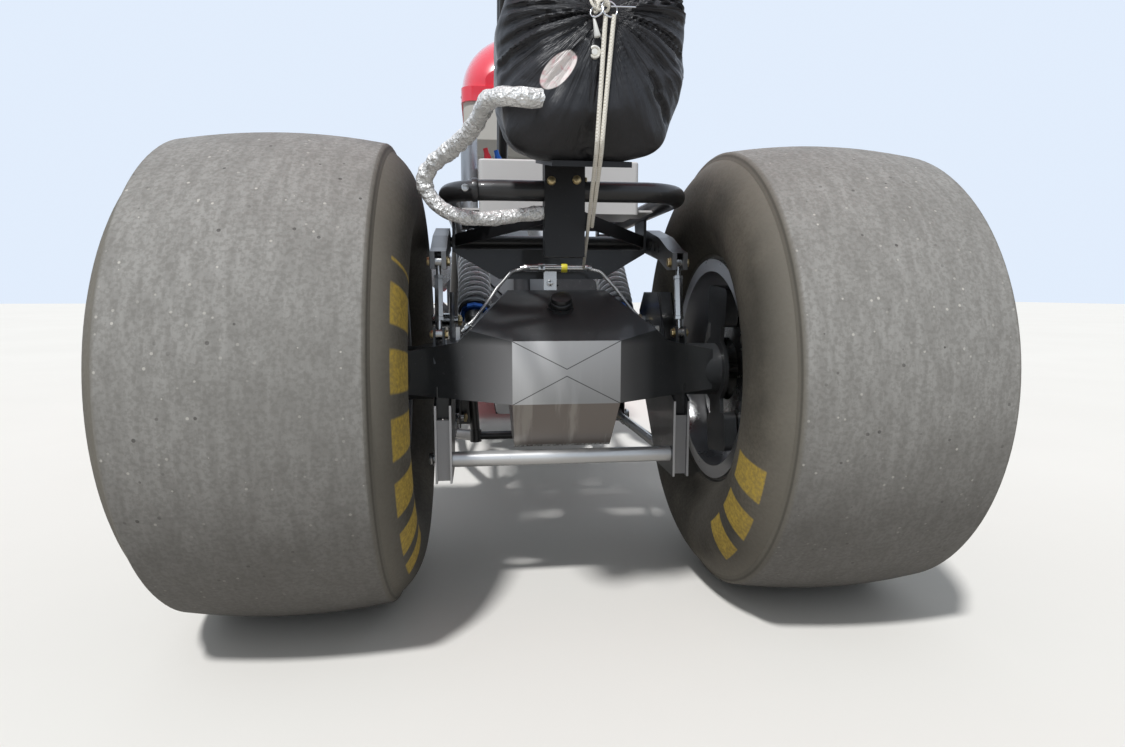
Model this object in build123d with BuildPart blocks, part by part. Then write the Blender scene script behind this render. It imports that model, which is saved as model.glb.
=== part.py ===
from build123d import *
import os
from math import cos, radians, sin, tan

os.makedirs("parts", exist_ok=True)

# Millimetres. +X is the car's right, +Y its nose, +Z up, with the ground at zero.

# Main lengths of the car
wheelbase = 6100
nose_overhang = 560
tail_overhang = 520
rear_axle_y = -(wheelbase + nose_overhang - tail_overhang) / 2
nose_tip = wheelbase + nose_overhang

# Gap between a piece and its seat on another body or a soft piece
seat_gap = 0.3

# Rear wheels
rear_tyre_radius = 435
rear_wheel_x = 479
tread_edge_half = 167
tread_edge_radius = rear_tyre_radius - 14
shoulder_half = 176
shoulder_radius = rear_tyre_radius - 28
sidewall_half = 217
sidewall_radius = 322
bead_half = 165
bead_radius = 226
rear_barrel_radius = 206
rear_barrel_wall = 9
rear_flange_width = 7
rear_flange_radius = 221
rear_disc_inset = 60
rear_disc_thickness = 12
rear_disc_holes = 10
rear_disc_hole_radius = 22
rear_disc_hole_circle = 148

# Rear axle
axle_shaft_radius = 20
bearing_play = 0.05
bearing_length = 20
housing_bore_radius = 26
housing_end_x = 318
housing_end_radius = 52
flange_radius = 78
flange_thickness = 12
pilot_radius = 34
rotor_radius = 146
rotor_x = 345
rotor_thickness = 9
rotor_hat_radius = 70

# Axle housing plates, most of them set from the axle's height
face_half_width = 98
face_back = -130
pinion_end = 260
face_top = rear_tyre_radius + 68
face_bottom = rear_tyre_radius - 46
cross_break_rise = 4
cross_break_ridge = 13
hat_top = rear_tyre_radius + 159
hat_back = 30
shoulder_top = rear_tyre_radius + 64
belly_half_width = 92
belly_bottom = rear_tyre_radius - 138
belly_back = -60
arm_top = rear_tyre_radius + 44
arm_bottom = rear_tyre_radius - 35
arm_end_x = 300
arm_half_depth = 45
filler_radius = 19
filler_neck_radius = 25

# Four-link
bracket_inner_x = 209
bracket_outer_x = 240
bracket_plate = 4
bracket_bottom = 238
bracket_back = -95
brace_radius = 14.5
brace_back = -70
brace_height = 278
link_radius = 11
link_eye_radius = 15
link_bolt_radius = 8
bolt_play = 0.2
roll_link_x = 230
coil_x = 166
coil_radius = 39
coil_eye_half = 12
roll_eye_half = 6
tab_gap = roll_eye_half + seat_gap
tab_thickness = 4
bar_y = 190
bar_drop = 64
bar_radius = 11
bar_sleeve_radius = 15
lower_link_rear = (-10, 265)
lower_link_front = (520, 250)
upper_link_rear = (150, 530)
upper_link_front = (520, 420)
coil_foot_y = 190
coil_foot_height = rear_tyre_radius + 70
coil_top_drop = 36

# Frame tubes
foot_x = 170
loop_radius = 17.5
loop_x = 207
loop_back = -150
loop_height = 762
bar_height = loop_height - bar_drop
coil_top_height = loop_height - coil_top_drop
loop_bend = 75
rail_radius = 16
upright_radius = 13
cage_radius = 19
foot_height = 190
foot_tube_radius = 11.5
frame_start = 560
cockpit_start = 1830
firewall_thickness = 6

# Wing
wing_foot_y = 440
wing_foot_x = 95
wing_half_span = 510
wing_height = 1620
end_plate_thickness = 4

# Engine
pinion_drop = 60
crank_height = rear_tyre_radius - pinion_drop
engine_back = 1120
engine_length = 540
bank_angle = 45
deck_distance = 260
head_height = 105
head_half_width = 95
cover_height = 75
cover_half_width = 60
port_count = 4
port_pitch = 124
header_radius = 24
header_wall = 3
header_open_depth = 60
plenum_bottom = 860
plenum_top = 960
carburettor_top = 1060
scoop_base = 1236
scoop_rim_top = 1284
scoop_rise = 216
scoop_wall = 8
scoop_half_width = 207
scoop_back = 1100
scoop_length = 570
gearbox_back = 500

# Cockpit and body
body_bottom = 95
body_wall = 10
tub_back = cockpit_start + rail_radius + firewall_thickness + 2 * seat_gap
cockpit_length = 1020
nose_start = cockpit_start + 1670
opening_half_width = 245
opening_front = cockpit_start + cockpit_length
hoop_slot_half = 276
wheel_hub_play = 0.06
column_radius = 11

# Front axle and wheels
front_tyre_radius = 305
front_tyre_half = 52
front_rim_radius = 216
front_wheel_x = 395
kingpin_x = 300
kingpin_radius = 9
kingpin_play = 0.06
front_axle_height = 280
front_axle_radius = 19
axle_boss_radius = 18
axle_boss_half = 30
stub_radius = 12
steering_arm = 110
tie_rod_height = 262
tie_rod_radius = 9
eye_clearance = 3


def at(x, y, z):
    """A point given by its distance ahead of the rear axle."""
    return Vector(x, rear_axle_y + y, z)


def side_plane(x):
    """Looking along the car's width: sketch x is forward from the rear axle, sketch y is up."""
    return Plane(origin=at(x, 0, 0), x_dir=(0, 1, 0), z_dir=(1, 0, 0))


def back_plane(y):
    """Looking forward: sketch x is to the right, sketch y is up, and an extrusion runs rearwards."""
    return Plane(origin=at(0, y, 0), x_dir=(1, 0, 0), z_dir=(0, -1, 0))


def level_plane(z):
    """Looking down: sketch x is to the right, sketch y is forward from the rear axle."""
    return Plane(origin=at(0, 0, z), x_dir=(1, 0, 0), z_dir=(0, 0, 1))


def forward_plane(x, y, z):
    """Looking rearwards: sketch x is to the right, sketch y is down, and an extrusion runs forwards."""
    return Plane(origin=at(x, y, z), x_dir=(1, 0, 0), z_dir=(0, 1, 0))


def bank_plane(hand, y):
    """Square to the crank: sketch y runs out along one cylinder bank, sketch x out to its exhaust side."""
    across = (hand * cos(radians(bank_angle)), 0, -sin(radians(bank_angle)))
    return Plane(origin=at(0, y, crank_height), x_dir=across, z_dir=(0, -hand, 0))


def straight_tube(start, end, radius):
    run = end - start
    with BuildSketch(Plane(origin=start, z_dir=run)) as section:
        Circle(radius)
    extrude(section.sketch, amount=run.length)


def bent_tube(points, radius, bend):
    with BuildLine() as route:
        FilletPolyline(*points, radius=bend)
    with BuildSketch(Plane(origin=route.line @ 0, z_dir=route.line % 0)) as section:
        Circle(radius)
    sweep(sections=section.sketch, path=route.wire())


def flat_bar(start, end, width, thickness, across):
    run = end - start
    with BuildSketch(Plane(origin=start, x_dir=across, z_dir=run)) as section:
        Rectangle(width, thickness)
    extrude(section.sketch, amount=run.length)


def side_plate(x, thickness, outline, mode=Mode.ADD):
    with BuildSketch(side_plane(x)) as sketch:
        with BuildLine():
            Polyline(*outline, close=True)
        make_face()
    extrude(sketch.sketch, amount=thickness, mode=mode)


def back_plate(y, thickness, outline, mode=Mode.ADD):
    with BuildSketch(back_plane(y)) as sketch:
        with BuildLine():
            Polyline(*outline, close=True)
        make_face()
    extrude(sketch.sketch, amount=thickness, mode=mode)


def tapered_body(sections, shrink, mode):
    """Straight-lined stretches through rounded rectangles given as y, half width, bottom, top and corner."""
    for stretch in zip(sections, sections[1:]):
        slices = []
        for y, half_width, bottom, top, corner in stretch:
            with BuildSketch(back_plane(y)) as section:
                with Locations((0, (top + bottom) / 2)):
                    RectangleRounded(2 * (half_width - shrink), top - bottom - 2 * shrink, corner - shrink)
            slices.append(section.sketch)
        loft(slices, ruled=True, mode=mode)


def arc_tube(plane, bend_radius, start_angle, arc_size, radius):
    with BuildLine(plane) as route:
        CenterArc((0, 0), bend_radius, start_angle, arc_size)
    with BuildSketch(Plane(origin=route.line @ 0, z_dir=route.line % 0)) as section:
        Circle(radius)
    sweep(sections=section.sketch, path=route.wire())


def save(piece, label):
    piece.part.label = label
    export_step(piece.part, f"parts/{label}.step")


wheel_sides = (("right", 1), ("left", -1))

# Rear tyres
for side, hand in wheel_sides:
    centre = at(hand * rear_wheel_x, 0, rear_tyre_radius)
    with BuildPart() as rear_tyre:
        with BuildSketch(Plane(origin=centre, x_dir=(1, 0, 0), z_dir=(0, -1, 0))):
            with BuildLine():
                for end in (1, -1):
                    TangentArc(
                        (end * sidewall_half, sidewall_radius),
                        (end * shoulder_half, shoulder_radius),
                        tangent=(0, 1),
                    )
                    TangentArc(
                        (end * sidewall_half, sidewall_radius), (end * bead_half, bead_radius), tangent=(0, -1)
                    )
                    Line((end * shoulder_half, shoulder_radius), (end * tread_edge_half, tread_edge_radius))
                    Line((end * bead_half, bead_radius), (end * bead_half, rear_barrel_radius))
                ThreePointArc(
                    (tread_edge_half, tread_edge_radius),
                    (0, rear_tyre_radius),
                    (-tread_edge_half, tread_edge_radius),
                )
                Line((bead_half, rear_barrel_radius), (-bead_half, rear_barrel_radius))
            make_face()
        revolve(axis=Axis(centre, (1, 0, 0)))
    save(rear_tyre, f"rear_tyre_{side}")

# Rear rims
for side, hand in wheel_sides:
    centre = at(hand * rear_wheel_x, 0, rear_tyre_radius)
    with BuildPart() as rear_rim:
        barrel_radius = rear_barrel_radius - seat_gap
        flange_inner = bead_half + seat_gap
        with BuildSketch(Plane(origin=centre, x_dir=(hand, 0, 0), z_dir=(0, -hand, 0))):
            with BuildLine():
                Polyline(
                    (-flange_inner - rear_flange_width, barrel_radius - rear_barrel_wall),
                    (-flange_inner - rear_flange_width, rear_flange_radius),
                    (-flange_inner, rear_flange_radius),
                    (-flange_inner, barrel_radius),
                    (flange_inner, barrel_radius),
                    (flange_inner, rear_flange_radius),
                    (flange_inner + rear_flange_width, rear_flange_radius),
                    (flange_inner + rear_flange_width, barrel_radius - rear_barrel_wall),
                    close=True,
                )
            make_face()
            with BuildLine():
                Polyline(
                    (-rear_disc_inset, pilot_radius + seat_gap),
                    (-rear_disc_inset, flange_radius + 12),
                    (-rear_disc_inset - 14, barrel_radius - rear_barrel_wall - 14),
                    (-rear_disc_inset - 14, barrel_radius - 2),
                    (-rear_disc_inset + rear_disc_thickness, barrel_radius - 2),
                    (-rear_disc_inset + rear_disc_thickness, pilot_radius + seat_gap),
                    close=True,
                )
            make_face()
        revolve(axis=Axis(centre, (1, 0, 0)))
        with BuildSketch(Plane(origin=centre, x_dir=(0, 1, 0), z_dir=(1, 0, 0))):
            with PolarLocations(rear_disc_hole_circle, rear_disc_holes):
                Circle(rear_disc_hole_radius)
        extrude(amount=bead_half - 40, both=True, mode=Mode.SUBTRACT)
    save(rear_rim, f"rear_rim_{side}")

# Axle shaft with its two hub flanges and brake rotors
disc_face = rear_wheel_x - rear_disc_inset
with BuildPart() as rear_axle_shaft:
    with BuildSketch(Plane(origin=at(0, 0, rear_tyre_radius), x_dir=(1, 0, 0), z_dir=(0, -1, 0))):
        with BuildLine():
            Polyline(
                (0, 0),
                (0, axle_shaft_radius),
                (disc_face - flange_thickness, axle_shaft_radius),
                (disc_face - flange_thickness, rotor_hat_radius - 6),
                (rotor_x, rotor_hat_radius - 6),
                (rotor_x, rotor_radius),
                (rotor_x + rotor_thickness, rotor_radius),
                (rotor_x + rotor_thickness, rotor_hat_radius),
                (disc_face - flange_thickness, rotor_hat_radius),
                (disc_face - flange_thickness, flange_radius),
                (disc_face, flange_radius),
                (disc_face, pilot_radius),
                (disc_face + rear_disc_thickness + 10, pilot_radius),
                (disc_face + rear_disc_thickness + 10, 0),
                close=True,
            )
        make_face()
    revolve(axis=Axis(at(0, 0, rear_tyre_radius), (1, 0, 0)))
    mirror(about=Plane.YZ)
save(rear_axle_shaft, "rear_axle_shaft")

# Faceted axle housing
with BuildPart() as axle_housing:
    with BuildSketch(side_plane(-arm_end_x)):
        with BuildLine():
            Polyline(
                (belly_back, belly_bottom),
                (face_back, face_bottom),
                (face_back, face_top),
                (hat_back, hat_top),
                (hat_back + 50, hat_top),
                (-face_back, face_top),
                (-face_back, face_bottom),
                (-belly_back, belly_bottom),
                close=True,
            )
        make_face()
    extrude(amount=2 * arm_end_x)
    with BuildSketch(back_plane(-face_back)):
        with BuildLine():
            Polyline(
                (-face_half_width, hat_top),
                (-2 * face_half_width, shoulder_top),
                (-arm_end_x, arm_top),
                (-arm_end_x, arm_bottom),
                (-face_half_width, face_bottom),
                (-belly_half_width, belly_bottom),
                (belly_half_width, belly_bottom),
                (face_half_width, face_bottom),
                (arm_end_x, arm_bottom),
                (arm_end_x, arm_top),
                (2 * face_half_width, shoulder_top),
                (face_half_width, hat_top),
                close=True,
            )
        make_face()
    extrude(amount=-2 * face_back, mode=Mode.INTERSECT)
    with BuildSketch(level_plane(belly_bottom)):
        with BuildLine():
            Polyline(
                (-face_half_width, face_back),
                (face_half_width, face_back),
                (arm_end_x, -arm_half_depth),
                (arm_end_x, arm_half_depth),
                (face_half_width, -face_back),
                (-face_half_width, -face_back),
                (-arm_end_x, arm_half_depth),
                (-arm_end_x, -arm_half_depth),
                close=True,
            )
        make_face()
    extrude(amount=hat_top - belly_bottom, mode=Mode.INTERSECT)
    with BuildSketch(side_plane(-housing_end_x)):
        with Locations((0, rear_tyre_radius)):
            Circle(housing_end_radius)
    extrude(amount=2 * housing_end_x)
    with BuildSketch(forward_plane(0, -face_back - 30, crank_height + 20)):
        Circle(88)
    extrude(amount=70)
    with BuildSketch(forward_plane(0, -face_back + 40, crank_height)):
        Circle(62)
    extrude(amount=pinion_end - 40 + face_back, taper=12)
    # Filler neck and cap, square to the slope between face and hat
    slope = Vector(0, hat_back - face_back, hat_top - face_top)
    filler_foot = at(0, face_back, face_top) + slope * 0.64
    with BuildSketch(Plane(origin=filler_foot, x_dir=(1, 0, 0), z_dir=(0, -slope.Z, slope.Y))):
        Circle(filler_neck_radius)
    extrude(amount=5, both=True)
    with BuildSketch(Plane(origin=filler_foot, x_dir=(1, 0, 0), z_dir=(0, -slope.Z, slope.Y))):
        Circle(filler_radius)
    extrude(amount=17)
    # Cross break of the face plate: four shallow slopes that meet in a short upright ridge
    face_mid = (face_top + face_bottom) / 2
    with BuildSketch(back_plane(face_back)) as break_foot:
        with Locations((0, face_mid)):
            Rectangle(2 * face_half_width, face_top - face_bottom)
    with BuildSketch(back_plane(face_back - cross_break_rise)) as break_ridge:
        with Locations((0, face_mid)):
            Rectangle(1, cross_break_ridge)
    loft([break_foot.sketch, break_ridge.sketch], ruled=True)
    with BuildSketch(side_plane(-housing_end_x)):
        with Locations((0, rear_tyre_radius)):
            Circle(axle_shaft_radius + bearing_play)
    extrude(amount=2 * housing_end_x, mode=Mode.SUBTRACT)
    bore_length = housing_end_x - bearing_length
    with BuildSketch(side_plane(-bore_length)):
        with Locations((0, rear_tyre_radius)):
            Circle(housing_bore_radius)
    extrude(amount=2 * bore_length, mode=Mode.SUBTRACT)
    # Tabs that hold the anti-roll links' lower rod ends
    for hand in (1, -1):
        for offset in (-tab_gap - tab_thickness, tab_gap):
            side_plate(
                hand * roll_link_x + offset,
                tab_thickness,
                ((-72, arm_top - 20), (-62, arm_top + 45), (-38, arm_top + 45), (-20, arm_top - 20)),
            )
save(axle_housing, "axle_housing")

# Four-link brackets: a pair of plates and a set-in web on each side
with BuildPart() as link_brackets:
    for plate_x in (bracket_inner_x, bracket_outer_x - bracket_plate):
        side_plate(
            plate_x,
            bracket_plate,
            (
                (bracket_back, bracket_bottom),
                (bracket_back, 384),
                (-60, 400),
                (-20, 480),
                (40, 590),
                (160, 590),
                (200, 550),
                (200, 430),
                (110, 330),
                (30, bracket_bottom),
            ),
        )
    web_width = bracket_outer_x - bracket_inner_x - 2 * bracket_plate
    with BuildSketch(level_plane(bracket_bottom + 4)):
        with Locations((bracket_inner_x + bracket_plate + web_width / 2, bracket_back + 9)):
            Rectangle(web_width, 4)
    extrude(amount=114)
    with BuildSketch(level_plane(bracket_bottom + 118)):
        with Locations((bracket_inner_x + bracket_plate + web_width / 2, bracket_back + 24)):
            Rectangle(web_width, 4)
    extrude(amount=60)
    for y, z in (lower_link_rear, upper_link_rear):
        with BuildSketch(side_plane(bracket_inner_x - 1)):
            with Locations((y, z)):
                Circle(link_bolt_radius + bolt_play)
        extrude(amount=bracket_outer_x - bracket_inner_x + 2, mode=Mode.SUBTRACT)
    mirror(about=Plane.YZ)
    add(axle_housing.part, mode=Mode.SUBTRACT)
    with BuildSketch(side_plane(-housing_end_x)):
        with Locations((0, rear_tyre_radius)):
            Circle(housing_bore_radius + 6)
    extrude(amount=2 * housing_end_x, mode=Mode.SUBTRACT)
    brace_end = at(bracket_inner_x, brace_back, brace_height)
    straight_tube(at(-bracket_inner_x, brace_back, brace_height), brace_end, brace_radius)
save(link_brackets, "link_brackets")

# Link bars with their eyes and cross bolts
link_x = (bracket_inner_x + bracket_outer_x) / 2
with BuildPart() as link_bars:
    for rear, front in ((lower_link_rear, lower_link_front), (upper_link_rear, upper_link_front)):
        straight_tube(at(link_x, *rear), at(link_x, *front), link_radius)
        for y, z in (rear, front):
            straight_tube(at(link_x - 11, y, z), at(link_x + 11, y, z), link_eye_radius)
            straight_tube(at(bracket_inner_x - 8, y, z), at(bracket_outer_x + 8, y, z), link_bolt_radius)
    mirror(about=Plane.YZ)
save(link_bars, "link_bars")

# Engine-bay side frames
side_nodes = {
    "loop end": (loop_x, frame_start, loop_height),
    "rear foot": (foot_x, frame_start, foot_height),
    "rail drop": (243, engine_back - 160, 470),
    "lower mid": (243, engine_back - 160, 115),
    "rail front": (268, engine_back + 300, 470),
    "lower front": (268, engine_back + 300, 105),
    "hoop base": (288, cockpit_start, 500),
    "lower cockpit": (288, cockpit_start, 105),
}
side_members = (
    ("loop end", "rail drop", rail_radius),
    ("rail drop", "rail front", rail_radius),
    ("rail front", "hoop base", rail_radius),
    ("rear foot", "lower mid", rail_radius),
    ("lower mid", "lower front", rail_radius),
    ("lower front", "lower cockpit", rail_radius),
    ("rear foot", "loop end", upright_radius),
    ("lower mid", "rail drop", upright_radius),
    ("lower front", "rail front", upright_radius),
    ("lower cockpit", "hoop base", upright_radius),
    ("rear foot", "rail drop", upright_radius - 2),
    ("lower mid", "rail front", upright_radius - 2),
    ("lower front", "hoop base", upright_radius - 2),
)
with BuildPart() as side_frame_left:
    for start, end, radius in side_members:
        x1, y1, z1 = side_nodes[start]
        x2, y2, z2 = side_nodes[end]
        straight_tube(at(-x1, y1, z1), at(-x2, y2, z2), radius)
    for x, y, z in side_nodes.values():
        with BuildSketch(Plane(origin=at(-x, y, z - rail_radius))):
            Circle(rail_radius)
        extrude(amount=2 * rail_radius)
    # Bracket plates that take the front ends of the link bars
    for plate_x in (bracket_inner_x + bracket_plate, bracket_outer_x):
        lug_back = lower_link_front[0] - 25
        lug_low = lower_link_front[1] - 25
        lug_high = upper_link_front[1] + 25
        lug_front = frame_start + 30
        lug = ((lug_back, lug_low), (lug_back, lug_high), (lug_front, lug_high), (lug_front, lug_low))
        side_plate(-plate_x, bracket_plate, lug)
        for y, z in (lower_link_front, upper_link_front):
            with BuildSketch(side_plane(-plate_x - 1)):
                with Locations((y, z)):
                    Circle(link_bolt_radius + bolt_play)
            extrude(amount=bracket_plate + 2, mode=Mode.SUBTRACT)
    with BuildSketch(level_plane(lug_low)):
        with Locations((-(foot_x + bracket_outer_x) / 2, frame_start)):
            Rectangle(bracket_outer_x - foot_x, 12)
    extrude(amount=lug_high - lug_low)
save(side_frame_left, "side_frame_left")

with BuildPart() as side_frame_right:
    mirror(side_frame_left.part, about=Plane.YZ)
save(side_frame_right, "side_frame_right")
side_frames = (side_frame_left, side_frame_right)

# Rear loop of the frame, with its cross tubes, hangers and bulkhead
hanger_front = bar_y + 50
hanger_back = bar_y - 42
bulkhead_y = 153
bulkhead_half_width = 112
with BuildPart() as frame_rear:
    bent_tube(
        (
            at(-loop_x, frame_start, loop_height),
            at(-loop_x, loop_back, loop_height),
            at(loop_x, loop_back, loop_height),
            at(loop_x, frame_start, loop_height),
        ),
        loop_radius,
        loop_bend,
    )
    straight_tube(at(-loop_x, wing_foot_y, loop_height), at(loop_x, wing_foot_y, loop_height), rail_radius)
    straight_tube(at(-foot_x, frame_start, foot_height), at(foot_x, frame_start, foot_height), foot_tube_radius)
    for hand in (1, -1):
        for offset in (-coil_eye_half - seat_gap - 5, coil_eye_half + seat_gap):
            side_plate(
                hand * coil_x + offset,
                5,
                (
                    (wing_foot_y - 14, coil_top_height - 16),
                    (wing_foot_y + 14, coil_top_height - 16),
                    (wing_foot_y + 14, loop_height - 5),
                    (wing_foot_y - 14, loop_height - 5),
                ),
            )
    for hand in (1, -1):
        side_plate(
            hand * loop_x - 3,
            6,
            (
                (hanger_back, loop_height - 10),
                (hanger_front, loop_height - 10),
                (hanger_front - 20, bar_height - 23),
                (hanger_back, bar_height - 23),
            ),
        )
    straight_tube(at(-loop_x - 5, bar_y, bar_height), at(loop_x + 5, bar_y, bar_height), bar_sleeve_radius)
    with BuildSketch(side_plane(-loop_x - 6)):
        with Locations((bar_y, bar_height)):
            Circle(bar_radius + seat_gap)
    extrude(amount=2 * loop_x + 12, mode=Mode.SUBTRACT)
    back_plate(
        bulkhead_y,
        5,
        (
            (-loop_x + 1, bar_height - 17),
            (-loop_x + 1, bar_height - 25),
            (-bulkhead_half_width, bar_height - 80),
            (bulkhead_half_width, bar_height - 80),
            (loop_x - 1, bar_height - 25),
            (loop_x - 1, bar_height - 17),
        ),
    )
    for frame in side_frames:
        add(frame.part, mode=Mode.SUBTRACT)
save(frame_rear, "frame_rear")

# Anti-roll bar with its two lever arms, each with lightening holes and a forked end
link_low = (-50, arm_top + 33)
link_high = (-30, bar_height - 51)
arm_width = 30
clevis_slot = 2 * tab_gap
with BuildPart() as antiroll_bar:
    bar_end = bracket_outer_x - 8
    straight_tube(at(-bar_end, bar_y, bar_height), at(bar_end, bar_y, bar_height), bar_radius)
    for hand in (1, -1):
        side_plate(
            hand * roll_link_x - arm_width / 2,
            arm_width,
            (
                (bar_y + 22, bar_height + 18),
                (bar_y + 22, bar_height - 16),
                (60, bar_height - 42),
                (-8, bar_height - 65),
                (-46, bar_height - 65),
                (-46, bar_height - 33),
                (-10, bar_height - 24),
                (60, bar_height + 4),
                (bar_y - 20, bar_height + 28),
            ),
        )
        for hole_y, hole_radius in ((128, 11), (92, 9), (60, 8)):
            with BuildSketch(side_plane(hand * roll_link_x - arm_width / 2 - 1)):
                with Locations((hole_y, bar_height - 20 + (hole_y - 60) * 0.21)):
                    Circle(hole_radius)
            extrude(amount=arm_width + 2, mode=Mode.SUBTRACT)
        side_plate(
            hand * roll_link_x - clevis_slot / 2,
            clevis_slot,
            ((18, bar_height - 90), (18, bar_height - 33), (-60, bar_height - 33), (-60, bar_height - 90)),
            mode=Mode.SUBTRACT,
        )
    add(frame_rear.part, mode=Mode.SUBTRACT)
save(antiroll_bar, "antiroll_bar")

# Turnbuckle links between the lever arms and the axle housing: six-sided middle, lock nuts and rod ends
with BuildPart() as antiroll_links:
    low = at(roll_link_x, *link_low)
    high = at(roll_link_x, *link_high)
    link_run = high - low
    straight_tube(low, high, 5)
    for start_share, end_share, nut_radius in ((0.24, 0.76, 8.5), (0.19, 0.235, 9.5), (0.765, 0.81, 9.5)):
        with BuildSketch(Plane(origin=low + link_run * start_share, z_dir=link_run)) as nut:
            RegularPolygon(nut_radius, 6)
        extrude(nut.sketch, amount=link_run.length * (end_share - start_share))
    for eye in (low, high):
        straight_tube(eye - Vector(roll_eye_half, 0, 0), eye + Vector(roll_eye_half, 0, 0), 10)
    mirror(about=Plane.YZ)
save(antiroll_links, "antiroll_links")

# Coil-overs: damper body, ribbed outline of the spring, and an eye at each end
coil_low = at(coil_x, coil_foot_y, coil_foot_height)
coil_high = at(coil_x, wing_foot_y, coil_top_height)
with BuildPart() as coilovers:
    run = coil_high - coil_low
    straight_tube(coil_low, coil_high, 9)
    straight_tube(coil_low + run * 0.12, coil_low + run * 0.5, 24)
    straight_tube(coil_low + run * 0.16, coil_low + run * 0.21, coil_radius)
    for turn in range(8):
        turn_start = 0.21 + 0.068 * turn
        straight_tube(coil_low + run * turn_start, coil_low + run * (turn_start + 0.04), coil_radius)
    straight_tube(coil_low + run * 0.21, coil_low + run * 0.76, coil_radius - 9)
    straight_tube(coil_low + run * 0.75, coil_low + run * 0.78, coil_radius)
    for eye in (coil_low, coil_high):
        straight_tube(eye - Vector(coil_eye_half, 0, 0), eye + Vector(coil_eye_half, 0, 0), 13)
    # Stud that carries the lower eye from the link bracket
    straight_tube(coil_low, at(bracket_inner_x, coil_foot_y, coil_foot_height), 8)
    mirror(about=Plane.YZ)
save(coilovers, "coilovers")

# Brake calipers: two on each side, each astride its rotor and bolted to the housing's end
caliper_gap = 2
with BuildPart() as brake_calipers:
    axle_end = at(housing_end_x, 0, rear_tyre_radius)
    caliper_plane = Plane(origin=axle_end, x_dir=(0, 1, 0), z_dir=(1, 0, 0))
    for turn in (95, 260):
        with BuildSketch(caliper_plane):
            with PolarLocations(128, 1, start_angle=turn):
                RectangleRounded(76, 104, 14)
        extrude(amount=68)
        with BuildSketch(caliper_plane):
            with PolarLocations(62, 1, start_angle=turn):
                Rectangle(64, 60)
        extrude(amount=8)
    with BuildSketch(caliper_plane):
        Circle(housing_end_radius + 16)
    extrude(amount=8)
    slot_start = rotor_x - caliper_gap
    with BuildSketch(caliper_plane.offset(slot_start - housing_end_x)):
        Circle(rotor_radius + 5)
    extrude(amount=rotor_thickness + 2 * caliper_gap, mode=Mode.SUBTRACT)
    with BuildSketch(caliper_plane):
        Circle(housing_bore_radius)
    extrude(amount=40, mode=Mode.SUBTRACT)
    with BuildSketch(caliper_plane.offset(8)):
        Circle(rotor_hat_radius + 6)
    extrude(amount=100, mode=Mode.SUBTRACT)
    mirror(about=Plane.YZ)
save(brake_calipers, "brake_calipers")

# Brake hose tee on its tab, and the two hoses along the housing's shoulders
hose_radius = 3.5
tee_half_length = 58
tee_height = hat_top + 44
with BuildPart() as brake_tee:
    with BuildSketch(level_plane(hat_top)):
        with Locations((-12, hat_back + 20)):
            Rectangle(26, 3)
    extrude(amount=tee_height - hat_top + 8)
    with BuildSketch(back_plane(hat_back + 23)):
        with Locations((-12, hat_top + 14)):
            Circle(4)
    extrude(amount=6, mode=Mode.SUBTRACT)
    tee_end = at(tee_half_length, hat_back + 15, tee_height)
    straight_tube(at(-tee_half_length, hat_back + 15, tee_height), tee_end, 6.5)
    for hand in (1, -1):
        with BuildSketch(Plane(origin=at(hand * 197, 0, shoulder_top - 20))):
            Rectangle(8, 16)
        extrude(amount=44)
    add(axle_housing.part, mode=Mode.SUBTRACT)
save(brake_tee, "brake_tee")

with BuildPart() as brake_hoses:
    for hand in (1, -1):
        hose_route = (
            at(hand * (tee_half_length + 3 * seat_gap), hat_back + 15, tee_height),
            at(hand * 90, hat_back + 13, tee_height - 7),
            at(hand * 118, 36, tee_height - 38),
            at(hand * 145, 20, tee_height - 76),
            at(hand * 170, 7, tee_height - 106),
            at(hand * 190.2, 0, tee_height - 124.6),
        )
        bent_tube(hose_route, hose_radius, 22)
    add(axle_housing.part, mode=Mode.SUBTRACT)
save(brake_hoses, "brake_hoses")

# Parachute mount: a post behind the loop, a sloping tray, and two flat struts down to the hangers
pack_back = -450
pack_length = 280
pack_bottom = loop_height - 4
pack_rise = 54
pack_slope = pack_rise / pack_length
tray_thickness = 8
post_half_width = 34
post_shift = -9
tray_half_width = 55


def pack_floor(y):
    """Height of the pack's lowest line at a distance ahead of the rear axle."""
    return pack_bottom + (y - pack_back) * pack_slope


with BuildPart() as chute_mount:
    post_back = loop_back - 22
    post_front = loop_back + 22
    side_plate(
        post_shift - post_half_width,
        2 * post_half_width,
        (
            (post_back, bar_height - 48),
            (post_back, pack_floor(post_back) - tray_thickness + 2),
            (post_front, pack_floor(post_front) - tray_thickness + 2),
            (post_front, bar_height - 48),
        ),
    )
    tray_back = pack_back + 50
    side_plate(
        -tray_half_width,
        2 * tray_half_width,
        (
            (tray_back, pack_floor(tray_back) - tray_thickness),
            (tray_back, pack_floor(tray_back) - seat_gap),
            (post_front, pack_floor(post_front) - seat_gap),
            (post_front, pack_floor(post_front) - tray_thickness),
        ),
    )
    for hand in (1, -1):
        strut_foot = at(hand * (loop_x - 4), hanger_back + 10, bar_height + 2)
        strut_head = at(post_shift + hand * (post_half_width - 8), loop_back + 18, loop_height - 40)
        flat_bar(strut_head, strut_foot, 25, 5, (0, 0, 1))
    add(frame_rear.part, mode=Mode.SUBTRACT)
save(chute_mount, "chute_mount")

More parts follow.
